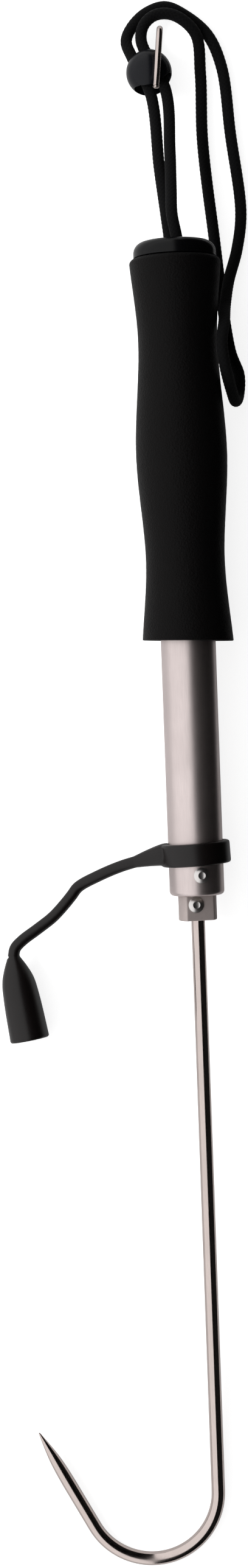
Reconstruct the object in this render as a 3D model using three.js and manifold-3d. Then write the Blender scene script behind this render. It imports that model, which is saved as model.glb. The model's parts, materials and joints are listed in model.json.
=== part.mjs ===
// A telescopic fishing gaff with its hook pulled out, lying on a flat surface.
// Units are millimetres and +Z is up. The gaff's axis runs along Y: the lanyard is at +Y, the hook at -Y.
// Pieces on the axis are measured along it from the mouth of the handle tube, hook side negative.
import * as THREE from 'three';
import { mergeVertices } from 'three/addons/utils/BufferGeometryUtils.js';
import Module from 'manifold-3d';

const wasm = await Module();
wasm.setup();

// Fits
const fitGap = 0.3;
const weldTolerance = 0.0001;

// Handle tube
const tubeRadius = 10;
const tubeWall = 1;
const tubeLength = 231;
const mouthRounding = 1.5;
const mouthLipHeight = 0.6;
const mouthLipLength = 1.2;
const tubeBore = tubeRadius - tubeWall;

// Foam grip
const gripLength = 138.2;
const gripEndRadius = 16.6;
const gripWaistRadius = 14.4;
const gripBulgeRadius = 16.6;
const gripRearRounding = 1.8;
const gripFrontWaistShare = 0.208;
const gripBulgeShare = 0.49;
const gripRearWaistShare = 0.79;
const gripStart = tubeLength - gripLength;

// End plug
const plugFlangeRadius = 15;
const plugFlangeLength = 5.8;
const plugEdgeRounding = 4;
const plugSpigotLength = 18;
const plugHoleRounding = 0.8;
const plugFlangeStart = tubeLength + fitGap;

// Lanyard cord, its knot and the cavity in the plug that holds the knot
const cordRadius = 2.1;
const cordStep = 7.4;
const knotRadius = 6.5;
const knotLength = 11;
const knotCavityWall = 1.7;
const knotCavityLength = 15.8;
const strandOffset = 2.2;
const cordHoleRadius = strandOffset + cordRadius + fitGap;

// Mouth bush
const bushLength = 30;
const bushStart = mouthLipLength + fitGap;
const bushEnd = bushStart + bushLength;
const bushRadius = tubeBore - fitGap;

// Rivets, one in the tube's mouth and one in the hook holder
const rivetHeadRadius = 2.85;
const rivetHeadHeight = 1.2;
const rivetShankRadius = 1.5;
const rivetDimpleRadius = 0.9;
const rivetDimpleDepth = 0.7;
const bushRivetPlace = 7.7;
const bushRivetRoll = 8.9;
const hookRivetPlace = -3.3;
const hookRivetOffset = -1.66;

// Hook holder
const holderRadius = 7;
const holderStubLength = 9.2;
const holderEdgeRounding = 0.4;
const flatHeight = 4.8;
const flatInsideLength = 3;
const flatRoll = 11.5;
const bushBore = holderRadius + fitGap;
const holderEnd = bushEnd;

// Hook of round wire
const hookWireRadius = 2.5;
const hookSocketLength = 22;
const hookShankLength = 220.5;
const hookBendRadius = 24.5;
const hookBendTurn = 151.5;
const hookLimbLength = 18.4;
const hookPointLength = 22;
const hookTipRadius = 0.3;
const hookShoulderRadius = 2.25;
const hookNeedleRadius = 1.05;
const hookShoulderShare = 0.41;
const hookNeedleShare = 0.74;
const holderBore = hookWireRadius + fitGap;

// Lock cam, its pin and the split sleeve round it
const camSpigotLength = 7;
const camPinRadius = 1;
const camPinSetback = 4;
const camJournalRadius = 4;
const camOffset = 0.7;
const camFlangeRadius = 8;
const camFlangeLength = 3;
const sleeveLength = 16;
const sleeveSlotWidth = 2;
const sleeveStart = bushEnd + fitGap;
const sleeveEnd = sleeveStart + sleeveLength;
const sleeveRadius = tubeBore - fitGap;
const sleeveBore = camJournalRadius + camOffset + fitGap;

// Point guard: band, strap and cap
const bandPlace = 15.2;
const bandWidth = 8.2;
const bandRadius = 12.7;
const bandSkew = 4;
const bandEdgeRounding = 0.8;
const strapRadius = 2.15;
const strapRootRadius = 4.1;
const strapRootLength = 9;
const strapSpan = 56.95;
const capLength = 31;
const capNeckRadius = 2.35;
const capThroatRadius = 4.2;
const capShoulderRadius = 5.9;
const capMiddleRadius = 6.7;
const capMouthRadius = 7.25;
const capBore = 5.5;
const capEndWall = 8.6;
const capThroatShare = 0.12;
const capShoulderShare = 0.27;
const capMiddleShare = 0.5;

// Slider ball and pocket clip on the lanyard
const ballRadius = 8.4;
const strandSpacing = 5.8;
const ballSlotGap = 0.5;
const ballSlotTurn = 24;
const ballSlotTilt = 12;
const ballPlaceX = -6.6;
const ballPlaceY = 302;
const clipWireRadius = 1.15;
const clipBallGap = 0.3;
const clipLegRise = 3.6;
const clipLegStart = 4.4;
const clipSideOffset = 2.97;
const clipLean = 5.7;
const clipApexReach = 13.9;
const clipBumpReach = -2.3;
const clipBumpDip = 0.2;
const clipLipReach = -8.4;
const clipLipRise = 1.6;

// Counts of facets
const tubeFacets = 40;
const smallFacets = 20;
const wireSides = 12;
const cordSides = 10;
const stepsPerArc = 4;
const gripSteps = 22;
const hookBendSteps = 26;
const strapSteps = 26;

// Finishes as the photo shows them
const satinAluminium = { color: 0xc9bdb9, roughness: 0.32, metalness: 1 };
const brightSteel = { color: 0xb9aea8, roughness: 0.16, metalness: 1 };
const rivetSteel = { color: 0xbdb8b4, roughness: 0.3, metalness: 1 };
const machinedSteel = { color: 0x8f8683, roughness: 0.38, metalness: 1 };
const blackFoam = { color: 0x0d0c0c, roughness: 0.95, metalness: 0 };
const blackPlastic = { color: 0x121214, roughness: 0.38, metalness: 0 };
const blackRubber = { color: 0x141416, roughness: 0.6, metalness: 0 };
const blackCord = { color: 0x0e0e0f, roughness: 0.9, metalness: 0 };
const whiteNylon = { color: 0xd9d6cc, roughness: 0.5, metalness: 0 };
const brass = { color: 0xb08d4a, roughness: 0.35, metalness: 1 };

// Route of the free cord over the surface: hand-chosen points with the tube's mouth at X 0, Y 0.
// It runs from the plug through the ball, round by the right to the fold on the grip, and back.
const cordRoute = [
  [-1.5, 229.1, 20.6], [-1.55, 237.0, 20.9], [-2.5, 247.5, 19.4], [-4.2, 266.0, 14.0],
  [-6.3, 293.8, 10.0], [-12.6, 308.4, 6.6], [-14.5, 314.8, 4.6], [-12.3, 320.4, 2.9],
  [-6.9, 325.6, 2.25], [0.25, 327.75, 2.25], [7.6, 324.3, 2.25], [15.7, 316.8, 2.25],
  [20.4, 304.9, 2.25], [22.8, 280.0, 2.25], [25.6, 251.0, 2.3], [23.7, 237.4, 3.2],
  [20.0, 225.0, 7.2], [18.0, 214.6, 14.6], [17.0, 206.8, 24.3], [15.7, 198.6, 29.0],
  [16.75, 190.3, 26.75], [19.1, 182.7, 18.45], [20.7, 180.05, 11.05], [22.15, 182.95, 5.1],
  [22.75, 190.7, 2.4], [19.8, 200.0, 2.35], [15.2, 244.0, 2.25], [12.4, 278.0, 2.25],
  [12.5, 302.5, 2.7], [11.1, 316.7, 5.05], [3.6, 323.5, 5.8], [-3.1, 324.0, 5.8],
  [-7.65, 320.55, 6.0], [-9.0, 314.6, 6.1], [-0.75, 294.9, 10.35], [-0.15, 272.0, 15.4],
  [-0.4, 256.0, 21.2], [-0.5, 246.5, 24.6], [1.0, 237.0, 24.7], [1.05, 229.0, 24.2],
];

// Route of the strap from inside the band's wall to the cap's neck, in shares of the strap's span:
// across, along from the band's middle, and up from the gaff's axis.
const strapRouteShares = [
  [0.000, -0.002, 0.005], [-0.083, -0.017, -0.012], [-0.163, -0.037, -0.030],
  [-0.284, -0.071, -0.055], [-0.427, -0.127, -0.078], [-0.565, -0.198, -0.101],
  [-0.610, -0.252, -0.103], [-0.664, -0.314, -0.103], [-0.737, -0.387, -0.103],
  [-0.836, -0.459, -0.100], [-0.940, -0.531, -0.092], [-0.987, -0.580, -0.090],
  [-1.000, -0.636, -0.089],
];
const capAxisTiltShares = [0.162, -0.985, 0.066];

function radians(degrees) {
  return THREE.MathUtils.degToRad(degrees);
}

// A curve through given stations, so that a tube along it has one ring at each of them.
class StationPath extends THREE.Curve {
  constructor(stations) {
    super();
    this.stations = stations;
  }

  getPointAt(share, target = new THREE.Vector3()) {
    const place = Math.round(share * (this.stations.length - 1));
    return target.copy(this.stations[place]);
  }

  getPoint(share, target) {
    return this.getPointAt(share, target);
  }

  getTangentAt(share, target = new THREE.Vector3()) {
    const last = this.stations.length - 1;
    const place = Math.round(share * last);
    const before = this.stations[Math.max(place - 1, 0)];
    const here = this.stations[place];
    const after = this.stations[Math.min(place + 1, last)];
    const arriving = here.clone().sub(before).normalize();
    const leaving = after.clone().sub(here).normalize();
    return target.addVectors(arriving, leaving).normalize();
  }
}

// A round tube with one ring at each station
function tubeThrough(stations, radius, sides) {
  const corners = [];
  for (let side = 0; side < sides; side += 1) {
    const angle = (2 * Math.PI * side) / sides;
    corners.push(new THREE.Vector2(radius * Math.cos(angle), radius * Math.sin(angle)));
  }
  return new THREE.ExtrudeGeometry(new THREE.Shape(corners), {
    steps: stations.length - 1,
    extrudePath: new StationPath(stations),
  });
}

// Points of an arc in the plane of a profile, angles in degrees
function arcPoints(centreX, centreY, radius, startAngle, endAngle, steps = stepsPerArc) {
  const points = [];
  for (let step = 0; step <= steps; step += 1) {
    const angle = radians(startAngle + ((endAngle - startAngle) * step) / steps);
    points.push([centreX + radius * Math.cos(angle), centreY + radius * Math.sin(angle)]);
  }
  return points;
}

// A turned piece: the profile lists radius and place along the axis, counter-clockwise
function turned(profile, facets = tubeFacets) {
  const points = profile.map(([radius, place]) => new THREE.Vector2(radius, place));
  return new THREE.LatheGeometry(points, facets);
}

// A plain rod along the axis between two places
function rod(radius, start, end, facets = smallFacets) {
  return turned([[0, start], [radius, start], [radius, end], [0, end]], facets);
}

// A turned ring along the axis between two places, with a profile that closes on itself
function ring(innerRadius, outerRadius, start, end, facets = tubeFacets) {
  const profile = [
    [innerRadius, start], [outerRadius, start], [outerRadius, end],
    [innerRadius, end], [innerRadius, start],
  ];
  return turned(profile, facets);
}

// Closed mesh to solid, with the shared corners welded and the slivers at the poles dropped
function solidOf(geometry) {
  const bare = geometry.clone();
  bare.deleteAttribute('normal');
  bare.deleteAttribute('uv');
  const welded = mergeVertices(bare, weldTolerance);
  const corners = welded.index.array;
  const kept = [];
  for (let first = 0; first < corners.length; first += 3) {
    const [a, b, c] = [corners[first], corners[first + 1], corners[first + 2]];
    if (a !== b && b !== c && c !== a) {
      kept.push(a, b, c);
    }
  }
  return new wasm.Manifold(new wasm.Mesh({
    numProp: 3,
    vertProperties: Float32Array.from(welded.attributes.position.array),
    triVerts: Uint32Array.from(kept),
  }));
}

function geometryOf(solid) {
  const mesh = solid.getMesh();
  const geometry = new THREE.BufferGeometry();
  geometry.setAttribute('position', new THREE.BufferAttribute(mesh.vertProperties, 3));
  geometry.setIndex(new THREE.BufferAttribute(mesh.triVerts, 1));
  geometry.computeVertexNormals();
  return geometry;
}

function cut(geometry, ...cutters) {
  const rest = cutters.reduce((body, cutter) => body.subtract(solidOf(cutter)), solidOf(geometry));
  return geometryOf(rest);
}

function joined(geometry, ...others) {
  const whole = others.reduce((body, other) => body.add(solidOf(other)), solidOf(geometry));
  return geometryOf(whole);
}

// Moves a geometry whose axis is Y so that it points along +Z, then rolls it about the gaff's axis
function standing(geometry, roll, place, offset = 0) {
  geometry.rotateX(Math.PI / 2);
  geometry.translate(offset, 0, 0);
  geometry.rotateY(radians(roll));
  geometry.translate(0, place, 0);
  return geometry;
}

function addPiece(parent, name, geometry, finish, place = [0, 0, 0]) {
  const mesh = new THREE.Mesh(geometry, new THREE.MeshStandardMaterial(finish));
  mesh.name = name;
  mesh.position.set(...place);
  parent.add(mesh);
  return mesh;
}

// Handle tube, its mouth rolled in to a short lip
function makeHandleTube() {
  const lipBore = tubeBore - mouthLipHeight;
  const profile = [
    [lipBore, 0],
    ...arcPoints(tubeRadius - mouthRounding, mouthRounding, mouthRounding, -90, 0),
    [tubeRadius, tubeLength],
    [tubeBore, tubeLength],
    [tubeBore, mouthLipLength],
    [lipBore, mouthLipLength],
    [lipBore, 0],
  ];
  const hole = rod(rivetShankRadius + fitGap, 0, tubeRadius + tubeWall);
  return cut(turned(profile), standing(hole, bushRivetRoll, bushRivetPlace));
}

// Foam grip, waisted twice, with a sharp front edge and a rounded rear edge
function makeFoamGrip() {
  const bore = tubeRadius + fitGap;
  const stations = [
    [gripEndRadius, 0],
    [gripWaistRadius, gripFrontWaistShare * gripLength],
    [gripBulgeRadius, gripBulgeShare * gripLength],
    [gripWaistRadius, gripRearWaistShare * gripLength],
    [gripEndRadius, gripLength - gripRearRounding],
  ];
  const outline = new THREE.SplineCurve(stations.map(([radius, place]) => new THREE.Vector2(radius, place)));
  const side = outline.getPoints(gripSteps).map((point) => [point.x, point.y]);
  const rearEdge = arcPoints(gripEndRadius - gripRearRounding, gripLength - gripRearRounding,
    gripRearRounding, 0, 90, stepsPerArc / 2);
  const profile = [[bore, 0], ...side, ...rearEdge.slice(1), [bore, gripLength], [bore, 0]];
  return turned(profile);
}

// End plug: flange over the tube's end, spigot in its bore, hole for the cord and cavity for the knot
function makeEndPlug() {
  const spigotRadius = tubeBore - fitGap;
  const cavityRadius = spigotRadius - knotCavityWall;
  const cavityEnd = knotCavityLength - plugSpigotLength;
  const holeEdge = arcPoints(cordHoleRadius + plugHoleRounding, plugFlangeLength - plugHoleRounding,
    plugHoleRounding, 90, 180, stepsPerArc / 2);
  const profile = [
    [cavityRadius, -plugSpigotLength],
    [spigotRadius, -plugSpigotLength],
    [spigotRadius, 0],
    [plugFlangeRadius, 0],
    ...arcPoints(plugFlangeRadius - plugEdgeRounding, plugFlangeLength - plugEdgeRounding,
      plugEdgeRounding, 0, 90),
    ...holeEdge,
    [cordHoleRadius, cavityEnd],
    [cavityRadius, cavityEnd],
    [cavityRadius, -plugSpigotLength],
  ];
  return turned(profile);
}

// Knot of the cord, drawn up against the floor of its cavity
function makeCordKnot() {
  const half = knotLength / 2;
  const waistRadius = knotRadius - cordRadius / 2;
  const hump = knotLength / 4;
  const profile = [
    [0, -half],
    [knotRadius - hump, -half],
    ...arcPoints(knotRadius - hump, -hump, hump, -60, 60),
    [waistRadius, 0],
    ...arcPoints(knotRadius - hump, hump, hump, -60, 60),
    [knotRadius - hump, half],
    [0, half],
  ];
  return turned(profile, smallFacets);
}

function makeMouthBush() {
  const hole = rod(rivetShankRadius + fitGap, 0, tubeRadius);
  const body = ring(bushBore, bushRadius, bushStart, bushEnd);
  return cut(body, standing(hole, bushRivetRoll, bushRivetPlace));
}

// Rivet along the axis: shank down from zero, domed head above it with a dimple in its middle
function makeRivet(shankLength) {
  const domeRadius = (rivetHeadRadius ** 2 + rivetHeadHeight ** 2) / (2 * rivetHeadHeight);
  const domeCentre = rivetHeadHeight - domeRadius;
  const rimAngle = THREE.MathUtils.radToDeg(Math.asin(-domeCentre / domeRadius));
  const dimpleAngle = THREE.MathUtils.radToDeg(Math.acos(rivetDimpleRadius / domeRadius));
  const profile = [
    [0, -shankLength],
    [rivetShankRadius, -shankLength],
    [rivetShankRadius, 0],
    ...arcPoints(0, domeCentre, domeRadius, rimAngle, dimpleAngle, stepsPerArc / 2),
    [rivetDimpleRadius, rivetHeadHeight - rivetDimpleDepth],
    [0, rivetHeadHeight - rivetDimpleDepth],
  ];
  return turned(profile, smallFacets);
}

function makeBushRivet() {
  const headSeat = tubeRadius + fitGap;
  const rivet = makeRivet(headSeat - bushBore - fitGap);
  rivet.translate(0, headSeat, 0);
  return standing(rivet, bushRivetRoll, bushRivetPlace);
}

// Depth of the blind rivet hole below the axis, inside the holder's wall
function hookRivetDepth() {
  return holderRadius - Math.abs(hookRivetOffset);
}

function makeHookRivet() {
  const headSeat = flatHeight + fitGap;
  const rivet = makeRivet(headSeat + hookRivetDepth() - fitGap);
  rivet.translate(0, headSeat, 0);
  return standing(rivet, flatRoll, hookRivetPlace, hookRivetOffset);
}

function hookRivetHole() {
  const hole = rod(rivetShankRadius + fitGap, -hookRivetDepth(), holderRadius + rivetHeadHeight);
  return standing(hole, flatRoll, hookRivetPlace, hookRivetOffset);
}

function camPinHole() {
  const hole = rod(camPinRadius + fitGap, -holderRadius - camPinRadius, holderRadius + camPinRadius);
  hole.rotateZ(Math.PI / 2);
  hole.translate(0, holderEnd - camPinSetback, 0);
  return hole;
}

// Hook holder: a thick sleeve with a flat milled on its outer end
function makeHookHolder() {
  const front = -holderStubLength;
  const profile = [
    [holderBore, front],
    ...arcPoints(holderRadius - holderEdgeRounding, front + holderEdgeRounding,
      holderEdgeRounding, -90, 0, stepsPerArc / 2),
    [holderRadius, holderEnd],
    [holderBore, holderEnd],
    [holderBore, front],
  ];
  const depth = holderRadius - flatHeight;
  const length = 2 * (holderStubLength + flatInsideLength);
  const mill = new THREE.BoxGeometry(2 * holderRadius, length, 2 * depth);
  mill.translate(0, 0, flatHeight + depth);
  mill.rotateY(radians(flatRoll));
  mill.translate(0, flatInsideLength - length / 2, 0);
  return cut(turned(profile), mill, hookRivetHole(), camPinHole());
}

// Centre line of the hook from its end in the holder to the tip, lying in the plane of X and Y
function hookStations() {
  const stations = [
    new THREE.Vector3(0, hookSocketLength, 0),
    new THREE.Vector3(0, -holderStubLength, 0),
  ];
  for (let step = 0; step <= hookBendSteps; step += 1) {
    const angle = radians((hookBendTurn * step) / hookBendSteps);
    stations.push(new THREE.Vector3(
      hookBendRadius * (Math.cos(angle) - 1),
      -hookShankLength - hookBendRadius * Math.sin(angle),
      0,
    ));
  }
  const turn = radians(hookBendTurn);
  const limb = new THREE.Vector3(-Math.sin(turn), -Math.cos(turn), 0);
  const bendEnd = stations[stations.length - 1];
  const pointShares = [0, hookShoulderShare / 2, hookShoulderShare, hookNeedleShare, 1];
  for (const share of pointShares) {
    const distance = hookLimbLength + share * hookPointLength;
    stations.push(bendEnd.clone().addScaledVector(limb, distance));
  }
  return { stations, limb };
}

// Radius of the ground point at a distance from the tip
function pointRadius(distance) {
  const stations = [
    [0, hookTipRadius],
    [(1 - hookNeedleShare) * hookPointLength, hookNeedleRadius],
    [(1 - hookShoulderShare) * hookPointLength, hookShoulderRadius],
    [hookPointLength, hookWireRadius],
  ];
  for (let index = 1; index < stations.length; index += 1) {
    const [near, nearRadius] = stations[index - 1];
    const [far, farRadius] = stations[index];
    if (distance <= far) {
      return THREE.MathUtils.mapLinear(distance, near, far, nearRadius, farRadius);
    }
  }
  return hookWireRadius;
}

// Hook: a bent wire whose straight limb is ground to a point, notched for its rivet
function makeHook() {
  const { stations, limb } = hookStations();
  const wire = tubeThrough(stations, hookWireRadius, wireSides);
  const tip = stations[stations.length - 1];
  const corners = wire.attributes.position;
  const corner = new THREE.Vector3();
  const centre = new THREE.Vector3();
  for (let index = 0; index < corners.count; index += 1) {
    corner.fromBufferAttribute(corners, index);
    const distance = centre.subVectors(tip, corner).dot(limb);
    centre.copy(tip).addScaledVector(limb, -distance);
    const near = corner.distanceTo(centre) < 2 * hookWireRadius;
    if (near && distance < hookPointLength) {
      corner.sub(centre).multiplyScalar(pointRadius(Math.max(distance, 0)) / hookWireRadius).add(centre);
      corners.setXYZ(index, corner.x, corner.y, corner.z);
    }
  }
  return cut(wire, hookRivetHole());
}

// Lock cam: spigot in the holder, eccentric journal in the sleeve, flange behind the sleeve
function makeLockCam() {
  const spigotRadius = holderBore - fitGap;
  const spigot = rod(spigotRadius, holderEnd - camSpigotLength, sleeveStart + camOffset);
  const journal = rod(camJournalRadius, holderEnd + fitGap, sleeveEnd + fitGap + camOffset);
  journal.translate(camOffset, 0, 0);
  const flange = rod(camFlangeRadius, sleeveEnd + fitGap, sleeveEnd + fitGap + camFlangeLength);
  return cut(joined(spigot, journal, flange), camPinHole());
}

function makeCamPin() {
  const pin = rod(camPinRadius, fitGap - holderRadius, holderRadius - fitGap);
  pin.rotateZ(Math.PI / 2);
  return pin;
}

// Lock sleeve: a ring split along one side, which the cam spreads against the tube
function makeLockSleeve() {
  const body = ring(sleeveBore, sleeveRadius, 0, sleeveLength);
  const slot = new THREE.BoxGeometry(sleeveSlotWidth, 2 * sleeveLength + fitGap, 2 * sleeveRadius);
  slot.translate(0, sleeveLength / 2, -sleeveRadius);
  return cut(body, slot);
}

// Point guard about the middle of its band: a skewed ring with a straight bore, strap and cap
function makePointGuard() {
  const halfWidth = bandWidth / 2;
  const innerRadius = tubeRadius - tubeWall;
  const bandProfile = [
    [innerRadius, -halfWidth],
    ...arcPoints(bandRadius - bandEdgeRounding, bandEdgeRounding - halfWidth,
      bandEdgeRounding, -90, 0, stepsPerArc / 2),
    ...arcPoints(bandRadius - bandEdgeRounding, halfWidth - bandEdgeRounding,
      bandEdgeRounding, 0, 90, stepsPerArc / 2),
    [innerRadius, halfWidth],
    [innerRadius, -halfWidth],
  ];
  const band = turned(bandProfile);
  band.rotateZ(radians(bandSkew));

  const rootPlace = (tubeRadius + bandRadius) / 2;
  const route = strapRouteShares.map(([across, along, up]) => new THREE.Vector3(
    across * strapSpan - rootPlace,
    along * strapSpan,
    up * strapSpan,
  ));
  const centreLine = new THREE.CatmullRomCurve3(route, false, 'centripetal');
  const strap = tubeThrough(centreLine.getSpacedPoints(strapSteps), strapRadius, wireSides);

  const rootStart = route[0];
  const rootWay = route[1].clone().sub(rootStart).normalize();
  const root = turned([
    [0, 0], [strapRootRadius, 0], [strapRadius, strapRootLength], [0, strapRootLength],
  ], smallFacets);
  root.applyQuaternion(new THREE.Quaternion().setFromUnitVectors(new THREE.Vector3(0, 1, 0), rootWay));
  root.translate(rootStart.x, rootStart.y, rootStart.z);

  const neck = route[route.length - 1];
  const capWay = new THREE.Vector3(...capAxisTiltShares).normalize();
  const cap = turned([
    [0, 0],
    [capNeckRadius, 0],
    [capThroatRadius, capThroatShare * capLength],
    [capShoulderRadius, capShoulderShare * capLength],
    [capMiddleRadius, capMiddleShare * capLength],
    [capMouthRadius, capLength],
    [capBore, capLength],
    [capBore, capEndWall],
    [0, capEndWall],
  ], smallFacets);
  cap.applyQuaternion(new THREE.Quaternion().setFromUnitVectors(new THREE.Vector3(0, 1, 0), capWay));
  cap.translate(neck.x, neck.y, neck.z);

  const bore = rod(tubeRadius + fitGap, -bandWidth, bandWidth, tubeFacets);
  return cut(joined(band, root, strap, cap), bore);
}

// Slot through the ball for the two strands, side by side
function ballSlot() {
  const half = cordRadius + ballSlotGap;
  const section = new THREE.Shape();
  section.absarc(strandSpacing / 2, 0, half, -Math.PI / 2, Math.PI / 2);
  section.absarc(-strandSpacing / 2, 0, half, Math.PI / 2, (3 * Math.PI) / 2);
  const slot = new THREE.ExtrudeGeometry(section, {
    depth: 4 * ballRadius,
    bevelEnabled: false,
    curveSegments: stepsPerArc,
  });
  slot.translate(0, 0, -2 * ballRadius);
  slot.rotateX(-Math.PI / 2);
  slot.rotateX(-radians(ballSlotTilt));
  slot.rotateZ(radians(ballSlotTurn));
  return slot;
}

// Centre line of the clip's wire: out of the ball, round the end and back over it
function clipStations() {
  const topRise = ballRadius + clipWireRadius + clipBallGap;
  const loopRadius = (topRise - clipLegRise) / 2;
  const loopCentre = clipApexReach - loopRadius;
  const sideView = [
    [clipLegStart, clipLegRise],
    ...arcPoints(loopCentre, clipLegRise + loopRadius, loopRadius, -90, 90, 2 * stepsPerArc),
    [clipBumpReach + 2 * clipWireRadius, topRise],
    [clipBumpReach, topRise - clipBumpDip],
    [clipBumpReach - 2 * clipWireRadius, topRise],
    [clipLipReach, topRise + clipLipRise],
  ];
  const lean = Math.tan(radians(clipLean));
  return sideView.map(([reach, rise]) => new THREE.Vector3(clipSideOffset + lean * reach, reach, rise));
}

// Slider ball with its slot and the socket of the clip's wire
function makeSliderBall() {
  const ball = new THREE.SphereGeometry(ballRadius, tubeFacets, smallFacets);
  const socket = rod(clipWireRadius + fitGap, clipLegStart - fitGap, 2 * ballRadius);
  socket.rotateZ(-radians(clipLean));
  socket.translate(clipSideOffset, 0, clipLegRise);
  return cut(ball, ballSlot(), socket);
}

function makePocketClip() {
  return tubeThrough(clipStations(), clipWireRadius, cordSides);
}

function makeLanyardCord() {
  const route = cordRoute.map((place) => new THREE.Vector3(...place));
  const centreLine = new THREE.CatmullRomCurve3(route, false, 'centripetal');
  const steps = Math.round(centreLine.getLength() / cordStep);
  return tubeThrough(centreLine.getSpacedPoints(steps), cordRadius, cordSides);
}

// The rigid gaff leans on the front edge of its grip and on the bottom of the hook's bend
function makeGaff() {
  const gaff = new THREE.Group();
  const bendBottom = hookShankLength + hookBendRadius;
  const pitch = Math.atan2(gripEndRadius - hookWireRadius, gripStart + bendBottom);
  gaff.rotation.x = pitch;
  gaff.position.z = gripEndRadius * Math.cos(pitch) - gripStart * Math.sin(pitch);

  addPiece(gaff, 'handle_tube', makeHandleTube(), satinAluminium);
  addPiece(gaff, 'foam_grip', makeFoamGrip(), blackFoam, [0, gripStart, 0]);
  addPiece(gaff, 'end_plug', makeEndPlug(), blackPlastic, [0, plugFlangeStart, 0]);
  const knotPlace = plugFlangeStart + knotCavityLength - plugSpigotLength - fitGap - knotLength / 2;
  addPiece(gaff, 'cord_knot', makeCordKnot(), blackCord, [0, knotPlace, 0]);
  addPiece(gaff, 'mouth_bush', makeMouthBush(), whiteNylon);
  addPiece(gaff, 'bush_rivet', makeBushRivet(), rivetSteel);
  addPiece(gaff, 'hook_holder', makeHookHolder(), machinedSteel);
  addPiece(gaff, 'hook_rivet', makeHookRivet(), rivetSteel);
  addPiece(gaff, 'hook', makeHook(), brightSteel);
  addPiece(gaff, 'lock_cam', makeLockCam(), brass);
  addPiece(gaff, 'cam_pin', makeCamPin(), rivetSteel, [0, holderEnd - camPinSetback, 0]);
  addPiece(gaff, 'lock_sleeve', makeLockSleeve(), whiteNylon, [0, sleeveStart, 0]);
  addPiece(gaff, 'point_guard', makePointGuard(), blackRubber, [0, bandPlace, 0]);
  return gaff;
}

function makeLanyard() {
  const lanyard = new THREE.Group();
  const slider = new THREE.Group();
  slider.position.set(ballPlaceX, ballPlaceY, ballRadius);
  addPiece(slider, 'slider_ball', makeSliderBall(), blackPlastic);
  addPiece(slider, 'pocket_clip', makePocketClip(), brightSteel);
  lanyard.add(slider);
  addPiece(lanyard, 'lanyard_cord', makeLanyardCord(), blackCord);
  return lanyard;
}

// The whole part, with its origin under the middle of the rigid gaff on the surface it lies on
function makePart() {
  const group = new THREE.Group();
  const gaff = makeGaff();
  group.add(gaff);
  group.updateMatrixWorld(true);
  const box = new THREE.Box3().setFromObject(gaff, true);
  const middle = box.getCenter(new THREE.Vector3());
  group.add(makeLanyard());
  group.position.set(-middle.x, -middle.y, -box.min.z);
  return group;
}

const group = makePart();

export default group;
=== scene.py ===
"""A telescopic fishing gaff with its hook pulled out, dressed over its frame and seen from straight above.

Sizes are in millimetres until a mesh is made, and in metres after that. Pieces on the gaff's axis are
placed by how far they lie from the mouth of the handle tube, hook side negative.
"""

from __future__ import annotations

import json
import logging
from collections.abc import Sequence
from dataclasses import dataclass, field
from enum import Enum

import bmesh
import bpy
import numpy as np
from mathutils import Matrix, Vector


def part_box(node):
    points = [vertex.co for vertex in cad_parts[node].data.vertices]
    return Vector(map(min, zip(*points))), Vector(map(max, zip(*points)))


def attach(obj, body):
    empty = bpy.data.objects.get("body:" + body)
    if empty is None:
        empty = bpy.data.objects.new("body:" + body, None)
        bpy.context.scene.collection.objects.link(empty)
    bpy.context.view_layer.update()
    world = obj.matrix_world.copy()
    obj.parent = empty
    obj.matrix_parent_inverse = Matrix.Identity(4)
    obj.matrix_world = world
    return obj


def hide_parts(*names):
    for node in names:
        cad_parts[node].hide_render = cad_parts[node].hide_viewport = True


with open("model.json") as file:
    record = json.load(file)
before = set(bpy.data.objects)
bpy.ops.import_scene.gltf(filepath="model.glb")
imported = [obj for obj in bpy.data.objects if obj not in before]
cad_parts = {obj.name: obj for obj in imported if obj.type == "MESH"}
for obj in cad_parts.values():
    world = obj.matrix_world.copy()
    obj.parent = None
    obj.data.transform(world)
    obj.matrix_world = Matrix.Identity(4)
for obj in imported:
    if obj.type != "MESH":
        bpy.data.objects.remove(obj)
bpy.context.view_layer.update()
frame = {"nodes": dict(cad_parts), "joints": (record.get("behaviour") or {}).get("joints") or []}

LOG = logging.getLogger("gaff")
MM = 0.001
FULL_TURN = 2 * np.pi
# Points that lie closer than this are one, in metres
WELD = 1e-7
# Gap between pieces that touch on the real gaff, in millimetres
FIT = 0.3
# Name of the cord's relief on its mesh, which the cord's finish turns into painted shade in the valleys
BRAID_ATTRIBUTE = "braid_relief"


class Body(Enum):
    """The bodies of the gaff that its pieces ride on."""

    HANDLE = "handle"
    HOOK = "hook_section"
    GUARD = "point_guard"
    SLIDER = "cord_slider"


class Slot(Enum):
    """The record's material slots that its pieces take."""

    ALUMINIUM = "satin_aluminium"
    FOAM = "grip_foam"
    PLUG = "plug_plastic"
    CORD = "lanyard_cord"
    RIVET = "rivet_steel"
    HOLDER = "holder_steel"
    HOOK = "hook_steel"
    RUBBER = "guard_rubber"
    BALL = "ball_plastic"


class Ends(Enum):
    """How the first and last ring of a surface are closed."""

    JOINED = "to each other"
    CAPPED = "each with a face"
    POLED = "each drawn to a point"


# Colours, nodes and finishes


def linear(colour: str) -> tuple[float, float, float, float]:
    """Turns an sRGB hex colour to linear light.

    Args:
        colour: The colour as "#rrggbb".

    Returns:
        Red, green, blue and an alpha of 1.
    """
    channels = np.array([int(colour[at:at + 2], 16) / 255 for at in (1, 3, 5)])
    light = np.where(channels <= 0.04045, channels / 12.92, ((channels + 0.055) / 1.055) ** 2.4)
    return (*light.tolist(), 1.0)


def per_metre(size: float) -> float:
    """How many features of a size in millimetres there are in a metre."""
    return 1 / (size * MM)


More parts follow.
